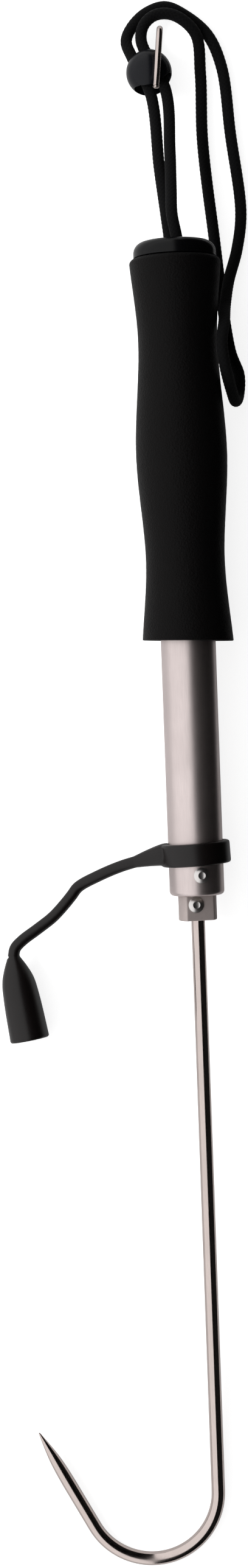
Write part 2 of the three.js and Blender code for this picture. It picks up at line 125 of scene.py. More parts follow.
def add_node(
    tree: bpy.types.NodeTree,
    kind: str,
    sockets: dict[str | int, object] | None = None,
    **settings: object,
) -> bpy.types.Node:
    """Adds a node with its settings, and sets or links its inputs.

    Args:
        tree: The node tree that the node goes into.
        kind: The node's type.
        sockets: For each input, by name or number, the output that feeds it or its value.
        **settings: The node's own properties.

    Returns:
        The new node.
    """
    node = tree.nodes.new(kind)
    for name, value in settings.items():
        setattr(node, name, value)
    for name, value in (sockets or {}).items():
        if isinstance(value, bpy.types.NodeSocket):
            tree.links.new(value, node.inputs[name])
        else:
            node.inputs[name].default_value = value
    return node


@dataclass(frozen=True)
class Finish:
    """What each finish of the gaff has: a colour, a sheen and the values of its base material."""

    name: str
    colour: str
    roughness: float
    metallic: float = 0.0
    ior: float = 1.5
    specular: float = 0.5
    roughness_spread: float = 0.04
    colour_spread: float = 0.06
    sheen: float = 0.0
    sheen_roughness: float = 0.5

    def material(self) -> bpy.types.Material:
        """Makes the material the first time, and gives the same one after that.

        Returns:
            The material.
        """
        made = bpy.data.materials.get(self.name)
        if made is None:
            made = bpy.data.materials.new(self.name)
            made.use_nodes = True
            made.diffuse_color = linear(self.colour)
            tree = made.node_tree
            shader = tree.nodes["Principled BSDF"]
            shader.inputs["Base Color"].default_value = linear(self.colour)
            shader.inputs["Roughness"].default_value = self.roughness
            shader.inputs["Metallic"].default_value = self.metallic
            if not self.metallic:
                shader.inputs["IOR"].default_value = self.ior
                shader.inputs["Specular IOR Level"].default_value = self.specular
            if self.sheen:
                shader.inputs["Sheen Weight"].default_value = self.sheen
                shader.inputs["Sheen Roughness"].default_value = self.sheen_roughness
            self.pattern(tree, shader)
        return made

    def pattern(self, tree: bpy.types.NodeTree, shader: bpy.types.Node) -> None:
        """Adds the finish's own pattern to the plain shader.

        Args:
            tree: The material's node tree.
            shader: Its principled shader.
        """

    def shade(
        self, tree: bpy.types.NodeTree, shader: bpy.types.Node, factor: bpy.types.NodeSocket, darkest: float
    ) -> None:
        """Lets a pattern darken and lighten the colour.

        Args:
            tree: The material's node tree.
            shader: Its principled shader.
            factor: The pattern, from 0 to 1.
            darkest: The share of the colour's value that is left where the pattern is 0.
        """
        value = add_node(tree, "ShaderNodeMapRange", {
            "Value": factor, "To Min": darkest, "To Max": 1 + self.colour_spread,
        })
        tint = add_node(tree, "ShaderNodeHueSaturation", {
            "Value": value.outputs[0], "Color": linear(self.colour),
        })
        tree.links.new(tint.outputs[0], shader.inputs["Base Color"])

    def vary(self, tree: bpy.types.NodeTree, shader: bpy.types.Node, factor: bpy.types.NodeSocket) -> None:
        """Lets a pattern lighten, darken and roughen the surface a little.

        Args:
            tree: The material's node tree.
            shader: Its principled shader.
            factor: The pattern, from 0 to 1.
        """
        self.shade(tree, shader, factor, 1 - self.colour_spread)
        rough = add_node(tree, "ShaderNodeMapRange", {
            "Value": factor,
            "To Min": self.roughness + self.roughness_spread,
            "To Max": self.roughness - self.roughness_spread,
        })
        tree.links.new(rough.outputs[0], shader.inputs["Roughness"])

    def emboss(
        self, tree: bpy.types.NodeTree, shader: bpy.types.Node, height: bpy.types.NodeSocket, depth: float
    ) -> None:
        """Adds relief too fine for the mesh.

        Args:
            tree: The material's node tree.
            shader: Its principled shader.
            height: The relief, from 0 to 1.
            depth: How deep it is, in millimetres.
        """
        bump = add_node(tree, "ShaderNodeBump", {"Height": height, "Distance": depth * MM})
        tree.links.new(bump.outputs[0], shader.inputs["Normal"])


@dataclass(frozen=True)
class DrawnMetal(Finish):
    """Drawn and rubbed metal: hairlines along the gaff's axis, and a bloom that dulls it in soft patches."""

    metallic: float = 1.0
    hairline: float = 0.25
    hairline_length: float = 30.0
    hairline_depth: float = 0.004
    bloom: float = 14.0
    pattern_span: tuple[float, float] = (0.1, 0.45)

    def pattern(self, tree: bpy.types.NodeTree, shader: bpy.types.Node) -> None:
        """Adds the hairlines and the bloom. Real hairlines are narrower, too fine to show.

        Args:
            tree: The material's node tree.
            shader: Its principled shader.
        """
        place = add_node(tree, "ShaderNodeTexCoord").outputs["Object"]
        across = per_metre(self.hairline)
        along = per_metre(self.hairline_length)
        stretched = add_node(tree, "ShaderNodeMapping", {"Vector": place, "Scale": (across, along, across)})
        lines = add_node(tree, "ShaderNodeTexNoise", {
            "Vector": stretched.outputs[0], "Scale": 1.0, "Detail": 2.0,
        })
        patches = add_node(tree, "ShaderNodeTexNoise", {
            "Vector": place, "Scale": per_metre(self.bloom), "Detail": 3.0,
        })
        both = add_node(tree, "ShaderNodeMath", {
            0: lines.outputs[0], 1: patches.outputs[0],
        }, operation="MULTIPLY")
        faintest, strongest = self.pattern_span
        spread = add_node(tree, "ShaderNodeMapRange", {
            "Value": both.outputs[0], "From Min": faintest, "From Max": strongest,
        })
        self.vary(tree, shader, spread.outputs[0])
        self.emboss(tree, shader, lines.outputs[0], self.hairline_depth)


@dataclass(frozen=True)
class TurnedMetal(Finish):
    """Metal off a lathe or mill: fine tool marks at an even feed along the axis, a little uneven."""

    metallic: float = 1.0
    feed: float = 0.35
    mark_depth: float = 0.006
    waver: float = 1.2
    stain: float = 3.5

    def pattern(self, tree: bpy.types.NodeTree, shader: bpy.types.Node) -> None:
        """Adds tool marks and a faint stain. A real feed is about a third of this one, too fine to show.

        Args:
            tree: The material's node tree.
            shader: Its principled shader.
        """
        place = add_node(tree, "ShaderNodeTexCoord").outputs["Object"]
        marks = add_node(tree, "ShaderNodeTexWave", {
            "Vector": place, "Scale": per_metre(self.feed) / FULL_TURN, "Distortion": self.waver,
            "Detail": 2.0,
        }, bands_direction="Y")
        stain = add_node(tree, "ShaderNodeTexNoise", {
            "Vector": place, "Scale": per_metre(self.stain), "Detail": 4.0,
        })
        self.vary(tree, shader, stain.outputs[0])
        self.emboss(tree, shader, marks.outputs[0], self.mark_depth)


@dataclass(frozen=True)
class MouldedPlastic(Finish):
    """Moulded plastic or rubber: the mould's fine grain and a faint cloudiness where it was handled."""

    grain: float = 0.3
    grain_depth: float = 0.01
    cloud: float = 7.0

    def pattern(self, tree: bpy.types.NodeTree, shader: bpy.types.Node) -> None:
        """Adds the grain and the cloudiness. A real grain is narrower, too fine to show.

        Args:
            tree: The material's node tree.
            shader: Its principled shader.
        """
        place = add_node(tree, "ShaderNodeTexCoord").outputs["Object"]
        grain = add_node(tree, "ShaderNodeTexNoise", {
            "Vector": place, "Scale": per_metre(self.grain), "Detail": 3.0, "Roughness": 0.6,
        })
        cloud = add_node(tree, "ShaderNodeTexNoise", {
            "Vector": place, "Scale": per_metre(self.cloud), "Detail": 3.0,
        })
        self.vary(tree, shader, cloud.outputs[0])
        self.emboss(tree, shader, grain.outputs[0], self.grain_depth)


@dataclass(frozen=True)
class CellFoam(Finish):
    """Closed-cell foam ground to shape: open cells all over, which swallow the light."""

    cell: float = 0.7
    cell_depth: float = 0.12
    mottle: float = 5.0
    fuzz_per_cell: float = 3.0
    sheen: float = 0.01
    sheen_roughness: float = 0.6

    def pattern(self, tree: bpy.types.NodeTree, shader: bpy.types.Node) -> None:
        """Adds the cut cells. The real ones are about half as wide, too fine to show.

        Args:
            tree: The material's node tree.
            shader: Its principled shader.
        """
        place = add_node(tree, "ShaderNodeTexCoord").outputs["Object"]
        cells = add_node(tree, "ShaderNodeTexVoronoi", {"Vector": place, "Scale": per_metre(self.cell)})
        fuzz = add_node(tree, "ShaderNodeTexNoise", {
            "Vector": place, "Scale": per_metre(self.cell / self.fuzz_per_cell), "Detail": 2.0,
        })
        mottle = add_node(tree, "ShaderNodeTexNoise", {
            "Vector": place, "Scale": per_metre(self.mottle), "Detail": 4.0,
        })
        relief = add_node(tree, "ShaderNodeMath", {0: cells.outputs[0], 1: fuzz.outputs[0]}, operation="ADD")
        self.vary(tree, shader, mottle.outputs[0])
        self.emboss(tree, shader, relief.outputs[0], self.cell_depth)


@dataclass(frozen=True)
class BraidedYarn(Finish):
    """Braided polyester, with painted shade: the valleys between the strands are painted darker, the crowns
    a little lighter.
    """

    valley_shade: float = 0.35
    filament: float = 0.12
    filament_depth: float = 0.02
    sheen: float = 0.04

    def pattern(self, tree: bpy.types.NodeTree, shader: bpy.types.Node) -> None:
        """Paints shade into the valleys by the mesh's own relief, and adds filaments, coarser than real ones
        to show.

        Args:
            tree: The material's node tree.
            shader: Its principled shader.
        """
        relief = add_node(tree, "ShaderNodeAttribute", attribute_name=BRAID_ATTRIBUTE).outputs["Fac"]
        # Painted shade: the colour falls to the valley share where the relief is lowest, and rises a little
        # on the crowns
        self.shade(tree, shader, relief, self.valley_shade)
        place = add_node(tree, "ShaderNodeTexCoord").outputs["Object"]
        filaments = add_node(tree, "ShaderNodeTexNoise", {
            "Vector": place, "Scale": per_metre(self.filament), "Detail": 2.0,
        })
        self.emboss(tree, shader, filaments.outputs[0], self.filament_depth)


# Anodised aluminium tube: a satin skin with a warm white bloom, faint lines from drawing
SATIN_ALUMINIUM = DrawnMetal("anodised_aluminium", "#e2d5d3", 0.38, hairline_depth=0.0005)
# Polished stainless wire: close to a mirror, with lines from the polishing belt
POLISHED_STAINLESS = DrawnMetal(
    "polished_stainless", "#d6c8c3", 0.14, hairline=0.12, hairline_length=4.0, hairline_depth=0.0002,
)
# Free-cutting steel as turned and milled: greyer than the tube, marks of the tool
MACHINED_STEEL = TurnedMetal("machined_steel", "#dacfcc", 0.7, mark_depth=0.003)
# Bright aluminium rivets, pressed smooth by the setting tool
PRESSED_RIVET = TurnedMetal("pressed_rivet", "#e6e2e0", 0.35, mark_depth=0.0005)
# Brass cam as turned, seen only when the tube is open
TURNED_BRASS = TurnedMetal("turned_brass", "#b08d4a", 0.3)
# EVA foam: dull black, only the side to the light a little greyer
EVA_FOAM = CellFoam("eva_foam", "#060505", 0.5, specular=0.09)
# ABS plug: moulded black with a soft gloss on its rounded edge
MOULDED_ABS = MouldedPlastic("moulded_abs", "#060607", 0.22, specular=0.2)
# Polished ABS ball: a broader and brighter sheen than the plug's, with a blue cast
POLISHED_ABS = MouldedPlastic("polished_abs", "#090a0f", 0.28, specular=0.24, grain=0.8, grain_depth=0.006)
# Soft PVC guard: satin black with a warm cast
SOFT_PVC = MouldedPlastic("soft_pvc", "#0d0909", 0.34, specular=0.4, grain_depth=0.006)
# Nylon bush and sleeve: natural off-white
NATURAL_NYLON = MouldedPlastic("natural_nylon", "#d9d6cc", 0.45, ior=1.53, grain_depth=0.004)
# Polyester lanyard cord
BLACK_POLYESTER = BraidedYarn("black_polyester", "#0a0a0b", 0.85, specular=0.12)


# Axes, routes and surfaces


@dataclass(frozen=True)
class Axes:
    """Where a sub-assembly stands: a point in metres and three directions, in the row frame."""

    origin: np.ndarray
    right: np.ndarray
    along: np.ndarray
    up: np.ndarray

    def place(self, points: np.ndarray) -> np.ndarray:
        """Puts points, in millimetres on these axes, in the row frame, in metres."""
        turned = points[:, :1] * self.right + points[:, 1:2] * self.along + points[:, 2:] * self.up
        return self.origin + turned * MM

    def moved(self, right: float = 0.0, along: float = 0.0, up: float = 0.0) -> Axes:
        """The same axes about a point that lies so many millimetres away."""
        point = self.place(np.array([[right, along, up]]))[0]
        return Axes(point, self.right, self.along, self.up)

    def standing(self, roll: float, along: float, offset: float = 0.0) -> Axes:
        """Axes whose along direction points up and away from the gaff's axis.

        Args:
            roll: How far it leans to the right, in degrees.
            along: Its place along the gaff's axis, in millimetres.
            offset: How far to the right of the axis it stands, in millimetres.

        Returns:
            The new axes.
        """
        sine, cosine = np.sin(np.radians(roll)), np.cos(np.radians(roll))
        right = cosine * self.right - sine * self.up
        outward = sine * self.right + cosine * self.up
        origin = self.origin + (along * self.along + offset * right) * MM
        return Axes(origin, right, outward, np.cross(right, outward))

    def aimed(self, direction: np.ndarray) -> Axes:
        """Axes at the same point with another along direction.

        Args:
            direction: The new direction, of any length, given on the present axes.

        Returns:
            The new axes.
        """
        way = direction[0] * self.right + direction[1] * self.along + direction[2] * self.up
        way = way / np.linalg.norm(way)
        right = np.cross(way, self.up)
        right = right / np.linalg.norm(right)
        return Axes(self.origin, right, way, np.cross(right, way))


def gaff_axes(band_place: float) -> Axes:
    """Axes of the gaff about the mouth of its tube, from the joint that the guard's band turns on.

    Args:
        band_place: How far the band's middle lies from the mouth, in millimetres.

    Returns:
        The axes.
    """
    joint = next(joint for joint in frame["joints"] if joint["name"] == "guard_turn")
    along = np.array(joint["axis"])
    along = along / np.linalg.norm(along)
    right = np.array([1.0, 0.0, 0.0])
    origin = np.array(joint["pos_m"]) - along * band_place * MM
    return Axes(origin, right, along, np.cross(right, along))


def level_axes(origin: np.ndarray) -> Axes:
    """Axes of the row frame, moved to a point that is given in metres."""
    right, along, up = np.eye(3)
    return Axes(origin, right, along, up)


class Route:
    """A smooth centre line through given points, drawn in more in short spans than in long ones."""

    def __init__(self, points: list[tuple[float, float, float]] | np.ndarray) -> None:
        """Keeps the points, with one more past each end to give the ends their direction.

        Args:
            points: The points, in millimetres.
        """
        inner = np.array(points, float)
        first = 2 * inner[0] - inner[1]
        last = 2 * inner[-1] - inner[-2]
        self.points = np.vstack([first, inner, last])

    def fine(self, per_span: int = 60) -> np.ndarray:
        """Draws the line as one cubic for each span.

        Args:
            per_span: How many points each span has.

        Returns:
            Points all along the line.
        """
        share = np.linspace(0, 1, per_span, endpoint=False)[:, None]
        spans = []
        for at in range(len(self.points) - 3):
            before, start, end, after = self.points[at:at + 4]
            gap = [np.sqrt(np.linalg.norm(b - a)) for a, b in ((before, start), (start, end), (end, after))]
            leaving = (start - before) / gap[0] - (end - before) / (gap[0] + gap[1]) + (end - start) / gap[1]
            arriving = (end - start) / gap[1] - (after - start) / (gap[1] + gap[2]) + (after - end) / gap[2]
            leaving, arriving = leaving * gap[1], arriving * gap[1]
            cubic = 2 * (start - end) + leaving + arriving
            square = 3 * (end - start) - 2 * leaving - arriving
            spans.append(((cubic * share + square) * share + leaving) * share + start)
        return np.vstack([*spans, self.points[-2:-1]])

    def even(self, step: float) -> np.ndarray:
        """Points at even distances along the line, about a step apart."""
        return evened(self.fine(), step)


def run_lengths(path: np.ndarray) -> np.ndarray:
    """How far along a path each of its points lies."""
    return np.concatenate([[0.0], np.cumsum(np.linalg.norm(np.diff(path, axis=0), axis=1))])


def evened(path: np.ndarray, step: float) -> np.ndarray:
    """Spreads a path's points evenly.

    Args:
        path: The path's points.
        step: About how far apart they are to lie.

    Returns:
        The new points, between the same ends.
    """
    runs = run_lengths(path)
    stations = np.linspace(0, runs[-1], max(2, round(runs[-1] / step) + 1))
    return np.column_stack([np.interp(stations, runs, path[:, axis]) for axis in range(3)])


def arc(centre: tuple[float, float], radius: float, start: float, end: float, steps: int = 8) -> np.ndarray:
    """Points of an arc in a profile, from one angle to another in degrees."""
    angles = np.radians(np.linspace(start, end, steps + 1))
    return np.column_stack([centre[0] + radius * np.cos(angles), centre[1] + radius * np.sin(angles)])


def eased(corners: list[tuple[float, float, float]], steps: int = 5) -> np.ndarray:
    """A closed profile with rounded corners, and a point beside each rounding that keeps its flats flat.

    Args:
        corners: For each corner its radius, its place along the axis and its rounding, in millimetres.
        steps: How many steps each rounding has.

    Returns:
        The profile's points, radius and place.
    """
    places = np.array([corner[:2] for corner in corners])
    profile = []
    for at, (radius, place, rounding) in enumerate(corners):
        if not rounding:
            profile.append((radius, place))
            continue
        here = places[at]
        back = places[at - 1] - here
        ahead = places[(at + 1) % len(places)] - here
        back, ahead = back / np.linalg.norm(back), ahead / np.linalg.norm(ahead)
        half = np.arccos(np.clip(back @ ahead, -1, 1)) / 2
        reach = rounding / np.tan(half)
        centre = here + (back + ahead) / np.linalg.norm(back + ahead) * rounding / np.sin(half)
        first, last = here + back * reach, here + ahead * reach
        beside = rounding / 4
        profile.append(tuple(first + back * beside))
        for share in np.linspace(0, 1, steps + 1):
            way = (first - centre) * (1 - share) + (last - centre) * share
            profile.append(tuple(centre + way / np.linalg.norm(way) * rounding))
        profile.append(tuple(last + ahead * beside))
    return np.array(profile)


@dataclass
class Surface:
    """A mesh in the making: its points in millimetres and its faces."""

    points: np.ndarray
    faces: list[tuple[int, ...]]


def skin(rings: np.ndarray, ends: Ends) -> Surface:
    """Lays faces over rings of points.

    Args:
        rings: The rings, each with as many points, as an array of rings by points by 3.
        ends: How the first and last ring are closed.

    Returns:
        The surface.
    """
    count, sides, _ = rings.shape
    last = count if ends is Ends.JOINED else count - 1
    faces = []
    for at in range(last):
        here, there = at * sides, (at + 1) % count * sides
        for side in range(sides):
            beside = (side + 1) % sides
            faces.append((here + side, here + beside, there + beside, there + side))
    if ends is Ends.CAPPED:
        faces.append(tuple(range(sides)))
        faces.append(tuple(range((count - 1) * sides, count * sides)))
    return Surface(rings.reshape(-1, 3), faces)


def lathe(profile: np.ndarray, facets: int = 128) -> Surface:
    """Turns a profile about the along axis. A profile that starts on the axis also ends there.

    Args:
        profile: Radius and place of each of its points.
        facets: How many facets go round.

    Returns:
        The surface.
    """
    angles = np.linspace(0, FULL_TURN, facets, endpoint=False)
    profile = np.asarray(profile, float)
    rings = np.empty((len(profile), facets, 3))
    rings[:, :, 0] = profile[:, :1] * np.cos(angles)
    rings[:, :, 1] = profile[:, 1:]
    rings[:, :, 2] = profile[:, :1] * np.sin(angles)
    return skin(rings, Ends.POLED if profile[0, 0] == 0 else Ends.JOINED)


def ring_frames(path: np.ndarray) -> tuple[np.ndarray, np.ndarray]:
    """Two directions square to a path at each of its points, turning as little as they can.

    Args:
        path: The path's points.

    Returns:
        The two directions at each point.
    """
    ways = np.gradient(path, axis=0)
    ways /= np.linalg.norm(ways, axis=1)[:, None]
    start = np.cross(ways[0], (0.0, 0.0, 1.0))
    sides = [start / np.linalg.norm(start)]
    for way in ways[1:]:
        side = sides[-1] - way * (sides[-1] @ way)
        sides.append(side / np.linalg.norm(side))
    sides = np.array(sides)
    return sides, np.cross(ways, sides)


def sweep(path: np.ndarray, radii: np.ndarray | float, sides: int, ends: Ends = Ends.CAPPED) -> Surface:
    """Lays a round tube along a path.

    Args:
        path: The path's points.
        radii: Its radius, as one number, one for each point, or one for each point and side.
        sides: How many sides it has.
        ends: How its ends are closed.

    Returns:
        The surface.
    """
    angles = np.linspace(0, FULL_TURN, sides, endpoint=False)
    first, second = ring_frames(path)
    if np.ndim(radii) < 2:
        radii = np.asarray(radii, float).reshape(-1, 1)
    radii = np.broadcast_to(radii, (len(path), sides))
    spokes = first[:, None] * np.cos(angles)[:, None] + second[:, None] * np.sin(angles)[:, None]
    return skin(path[:, None] + spokes * radii[:, :, None], ends)


def domed(path: np.ndarray, radius: float, steps: int = 5) -> tuple[np.ndarray, np.ndarray]:
    """Rounds the ends of a wire over: the path gains points there, and its radius falls to nothing.

    Args:
        path: The wire's path.
        radius: The wire's radius.
        steps: How many steps each end has.

    Returns:
        The new path and the radius at each of its points.
    """
    turn = np.linspace(0, np.pi / 2, steps + 1)
    reach, width = radius * np.sin(turn), radius * np.cos(turn)
    out = path[0] - path[1]
    away = path[-1] - path[-2]
    start = path[0] + (reach[::-1, None] - radius) * out / np.linalg.norm(out)
    end = path[-1] + (reach[:, None] - radius) * away / np.linalg.norm(away)
    radii = np.concatenate([width[::-1], np.full(len(path) - 2, radius), width])
    return np.vstack([start, path[1:-1], end]), radii


# Meshes


def add_object(name: str, data: bpy.types.ID) -> bpy.types.Object:
    """Adds an object to the scene.

    Args:
        name: The object's name.
        data: Its mesh, lamp or camera.

    Returns:
        The object.
    """
    made = bpy.data.objects.new(name, data)
    bpy.context.scene.collection.objects.link(made)
    return made


def add_mesh(
    name: str, points: Sequence[Sequence[float]], faces: Sequence[tuple[int, ...]]
) -> bpy.types.Object:
    """Adds an object with a mesh of given points.

    Args:
        name: The name of the object and the mesh.
        points: The mesh's points in the row frame, in metres.
        faces: Its faces.

    Returns:
        The object.
    """
    mesh = bpy.data.meshes.new(name)
    mesh.from_pydata(points, [], faces)
    return add_object(name, mesh)


def make_object(name: str, surface: Surface, axes: Axes) -> bpy.types.Object:
    """Makes an object of a surface, with its points merged and its faces turned outward.

    Args:
        name: The object's name.
        surface: The surface, in millimetres.
        axes: The axes that it stands on.

    Returns:
        The object, with its place in its mesh.
    """
    made = add_mesh(name, axes.place(surface.points).tolist(), surface.faces)
    work = bmesh.new()
    work.from_mesh(made.data)
    bmesh.ops.remove_doubles(work, verts=work.verts, dist=WELD)
    bmesh.ops.recalc_face_normals(work, faces=work.faces)
    work.to_mesh(made.data)
    work.free()
    return made


def settle(piece: bpy.types.Object) -> None:
    """Turns a piece's modifiers into its mesh.

    Args:
        piece: The piece.
    """
    graph = bpy.context.evaluated_depsgraph_get()
    result = bpy.data.meshes.new_from_object(piece.evaluated_get(graph), depsgraph=graph)
    piece.modifiers.clear()
    former = piece.data
    piece.data = result
    bpy.data.meshes.remove(former)


def cut(piece: bpy.types.Object, tool: bpy.types.Object) -> None:
    """Takes the shape of a tool out of a piece.

    Args:
        piece: The piece.
        tool: The tool, which is used up.
    """
    change = piece.modifiers.new(tool.name, "BOOLEAN")
    change.operation = "DIFFERENCE"
    change.solver = "EXACT"
    change.object = tool
    settle(piece)
    bpy.data.objects.remove(tool)


def moulded(name: str, parts: list[bpy.types.Object], grid: float, rounds: int) -> bpy.types.Object:
    """Melts overlapping parts into one moulding with soft inner corners.

    Args:
        name: The moulding's name.
        parts: The parts, which are used up.
        grid: The size of its cells, in millimetres.
        rounds: How many times its surface is eased.

    Returns:
        The moulding.
    """
    work = bmesh.new()
    for part in parts:
        work.from_mesh(part.data)
        bpy.data.objects.remove(part)
    mesh = bpy.data.meshes.new(name)
    work.to_mesh(mesh)
    work.free()
    made = add_object(name, mesh)
    melt = made.modifiers.new("melt", "REMESH")
    melt.mode = "VOXEL"
    melt.voxel_size = grid * MM
    ease = made.modifiers.new("ease", "SMOOTH")
    ease.iterations = rounds
    settle(made)
    return made


def rod_tool(name: str, radius: float, start: float, end: float, axes: Axes) -> bpy.types.Object:
    """A plain rod along the axes, to cut holes with."""
    profile = np.array([(0, start), (radius, start), (radius, end), (0, end)])
    return make_object(name, lathe(profile, facets=96), axes)


def hand_over(
    piece: bpy.types.Object, finish: Finish, slot: Slot, body: Body, *nodes: str, crease: float = 40.0
) -> bpy.types.Object:
    """Finishes a piece and sets it on its body in place of the nodes that it stands for.

    Args:
        piece: The piece.
        finish: Its finish.
        slot: The record's slot that the finish belongs to; not used.
        body: The body that it rides on.
        *nodes: The nodes that it replaces.
        crease: The angle in degrees over which an edge stays sharp.

    Returns:
        The piece.
    """
    mesh = piece.data
    mesh.shade_smooth()
    mesh.set_sharp_from_angle(angle=np.radians(crease))
    mesh.materials.clear()
    mesh.materials.append(finish.material())
    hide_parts(*nodes)
    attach(piece, body.value)
    LOG.info("%s: %d faces, rides on %s", piece.name, len(mesh.polygons), body.value)
    return piece


def dress_node(name: str, finish: Finish) -> None:
    """Gives a node whose own shape stays its finish.

    Args:
        name: The node's name.
        finish: The finish.
    """
    node = frame["nodes"][name]
    for place in node.material_slots:
        place.material = finish.material()
    LOG.info("%s: keeps its own mesh", name)


# Sub-assemblies


@dataclass
class Tube:
    """The drawn handle tube, rolled in at its mouth, and the bush there."""

    radius: float = 10.0
    wall: float = 1.0
    length: float = 231.0
    mouth_rounding: float = 1.5
    lip_height: float = 0.6
    lip_length: float = 1.2
    edge: float = 0.2
    ring_spacing: float = 2.0
    ringed_length: float = 20.0

    @property
    def bore(self) -> float:
        """Inner radius of the tube."""
        return self.radius - self.wall

    def profile(self) -> np.ndarray:
        """The wall's section, with rings near the rivet so that its hole stays local.

        Returns:
            The section's points, radius and place.
        """
        lip = self.bore - self.lip_height
        mouth = arc((self.radius - self.mouth_rounding, self.mouth_rounding), self.mouth_rounding, -90, 0)
        rings = np.arange(self.mouth_rounding + self.edge, self.ringed_length, self.ring_spacing)
        outside = [(self.radius, place) for place in rings]
        inside = [(self.bore, place) for place in rings[::-1] if place > self.lip_length + self.edge]
        return np.array([
            (lip, self.edge), (lip + self.edge, 0), *mouth, *outside,
            (self.radius, self.length - 2 * self.edge), (self.radius, self.length - self.edge),
            (self.radius - self.edge, self.length), (self.bore, self.length),
            *inside, (self.bore, self.lip_length), (lip, self.lip_length),
        ])

    def build(self, axes: Axes, rivet: Rivet) -> None:
        """Makes the tube with the hole of its rivet, and dresses the bush.

        Args:
            axes: The gaff's axes.
            rivet: The rivet at the mouth.
        """
        tube = make_object("drawn_tube", lathe(self.profile()), axes)
        cut(tube, rivet.hole("tube_hole", axes, self.wall, self.radius + self.wall))
        hand_over(tube, SATIN_ALUMINIUM, Slot.ALUMINIUM, Body.HANDLE, "handle_tube")
        dress_node("mouth_bush", NATURAL_NYLON)


@dataclass
class Rivet:
    """A rivet with a domed head that the setting tool has left a dimple in."""

    name: str
    node: str
    body: Body
    place: float
    roll: float
    seat: float
    shank: float
    offset: float = 0.0
    head_radius: float = 2.85
    head_height: float = 1.2
    shank_radius: float = 1.5
    dimple_radius: float = 1.2
    dimple_depth: float = 0.5
    rim: float = 0.25

    def axes(self, gaff: Axes) -> Axes:
        """The rivet's own axes, with the seat of its head at zero."""
        return gaff.standing(self.roll, self.place, self.offset).moved(along=self.seat)

    def hole(self, name: str, gaff: Axes, start: float, end: float) -> bpy.types.Object:
        """A tool for the rivet's hole, between two distances from the gaff's axis."""
        upright = gaff.standing(self.roll, self.place, self.offset)
        return rod_tool(name, self.shank_radius + FIT, start, end, upright)

    def build(self, gaff: Axes) -> None:
        """Makes the rivet.

        Args:
            gaff: The gaff's axes.
        """
        dome = (self.head_radius ** 2 + self.head_height ** 2) / (2 * self.head_height)
        centre = self.head_height - dome
        rise = np.degrees(np.arcsin((self.rim - centre) / dome))
        dip = np.degrees(np.arccos((self.dimple_radius + self.rim / 2) / dome))
        crown = arc((0, centre), dome, rise, dip, steps=10)
        floor = self.head_height - self.dimple_depth
        depth = crown[-1, 1] - self.rim / 4 - floor
        hollow = (self.dimple_radius ** 2 + depth ** 2) / (2 * depth)
        slope = np.degrees(np.arccos(self.dimple_radius / hollow))
        bowl = arc((0, floor + hollow), hollow, -slope, -90)
        bowl[-1, 0] = 0
        profile = np.vstack([
            [(0, -self.shank), (self.shank_radius, -self.shank), (self.shank_radius, 0)],
            [(self.head_radius - self.rim / 2, 0), (self.head_radius, self.rim / 2)],
            crown, bowl,
        ])
        made = make_object(self.name, lathe(profile, facets=72), self.axes(gaff))
        hand_over(made, PRESSED_RIVET, Slot.RIVET, self.body, self.node, crease=60)


@dataclass
class Grip:
    """The foam grip, ground to two waists."""

    length: float = 138.2
    end_radius: float = 16.6
    waist_radius: float = 14.4
    bulge_radius: float = 16.6
    rear_rounding: float = 1.8
    front_rounding: float = 0.4
    bore: float = 10.3
    waist_bulge_waist_shares: tuple[float, float, float] = (0.208, 0.49, 0.79)
    pit_depth: float = 0.05
    ring_step: float = 0.9
    front_skew: float = 2.2
    skew_length: float = 30.0
    face_rings: int = 8
    facets: int = 120
    seed: int = 7

    def outline(self) -> np.ndarray:
        """The grip's side from its front edge to its rear edge.

        Returns:
            Points of the side, radius and place.
        """
        front, bulge, rear = (share * self.length for share in self.waist_bulge_waist_shares)
        route = Route([
            (self.end_radius, 0, 0), (self.waist_radius, front, 0), (self.bulge_radius, bulge, 0),
            (self.waist_radius, rear, 0), (self.end_radius, self.length - self.rear_rounding, 0),
        ])
        side = route.even(self.ring_step)[:, :2]
        return side[side[:, 1] >= 2 * self.front_rounding]

    def build(self, axes: Axes) -> None:
        """Makes the foam, roughened by its own cells and cut a little askew at its front end.

        Args:
            axes: Axes about the middle of its front end.
        """
        inset = self.end_radius - self.front_rounding
        front = arc((inset, self.front_rounding), self.front_rounding, -90, 0, steps=4)
        behind = self.length - self.rear_rounding
        rear = arc((self.end_radius - self.rear_rounding, behind), self.rear_rounding, 0, 90)
        face = np.linspace(self.bore + self.front_rounding, inset, self.face_rings)
        profile = np.vstack([
            [(self.bore, 0)], [(radius, 0) for radius in face[:-1]], front, self.outline(), rear,
            [(radius, self.length) for radius in face[-2::-1]], [(self.bore, self.length)],
        ])
        surface = lathe(profile, self.facets)
        random = np.random.default_rng(self.seed)
        outer = np.hypot(surface.points[:, 0], surface.points[:, 2]) > self.bore + self.front_rounding
        pits = random.uniform(-self.pit_depth, 0, outer.sum())
        spokes = surface.points[outer] * (1, 0, 1)
        surface.points[outer] += spokes / np.linalg.norm(spokes, axis=1)[:, None] * pits[:, None]
        fade = np.clip(1 - surface.points[:, 1] / self.skew_length, 0, 1)
        surface.points[:, 1] -= surface.points[:, 0] * np.tan(np.radians(self.front_skew)) * fade
        foam = make_object("foam_sleeve", surface, axes)
        hand_over(foam, EVA_FOAM, Slot.FOAM, Body.HANDLE, "foam_grip", crease=60)


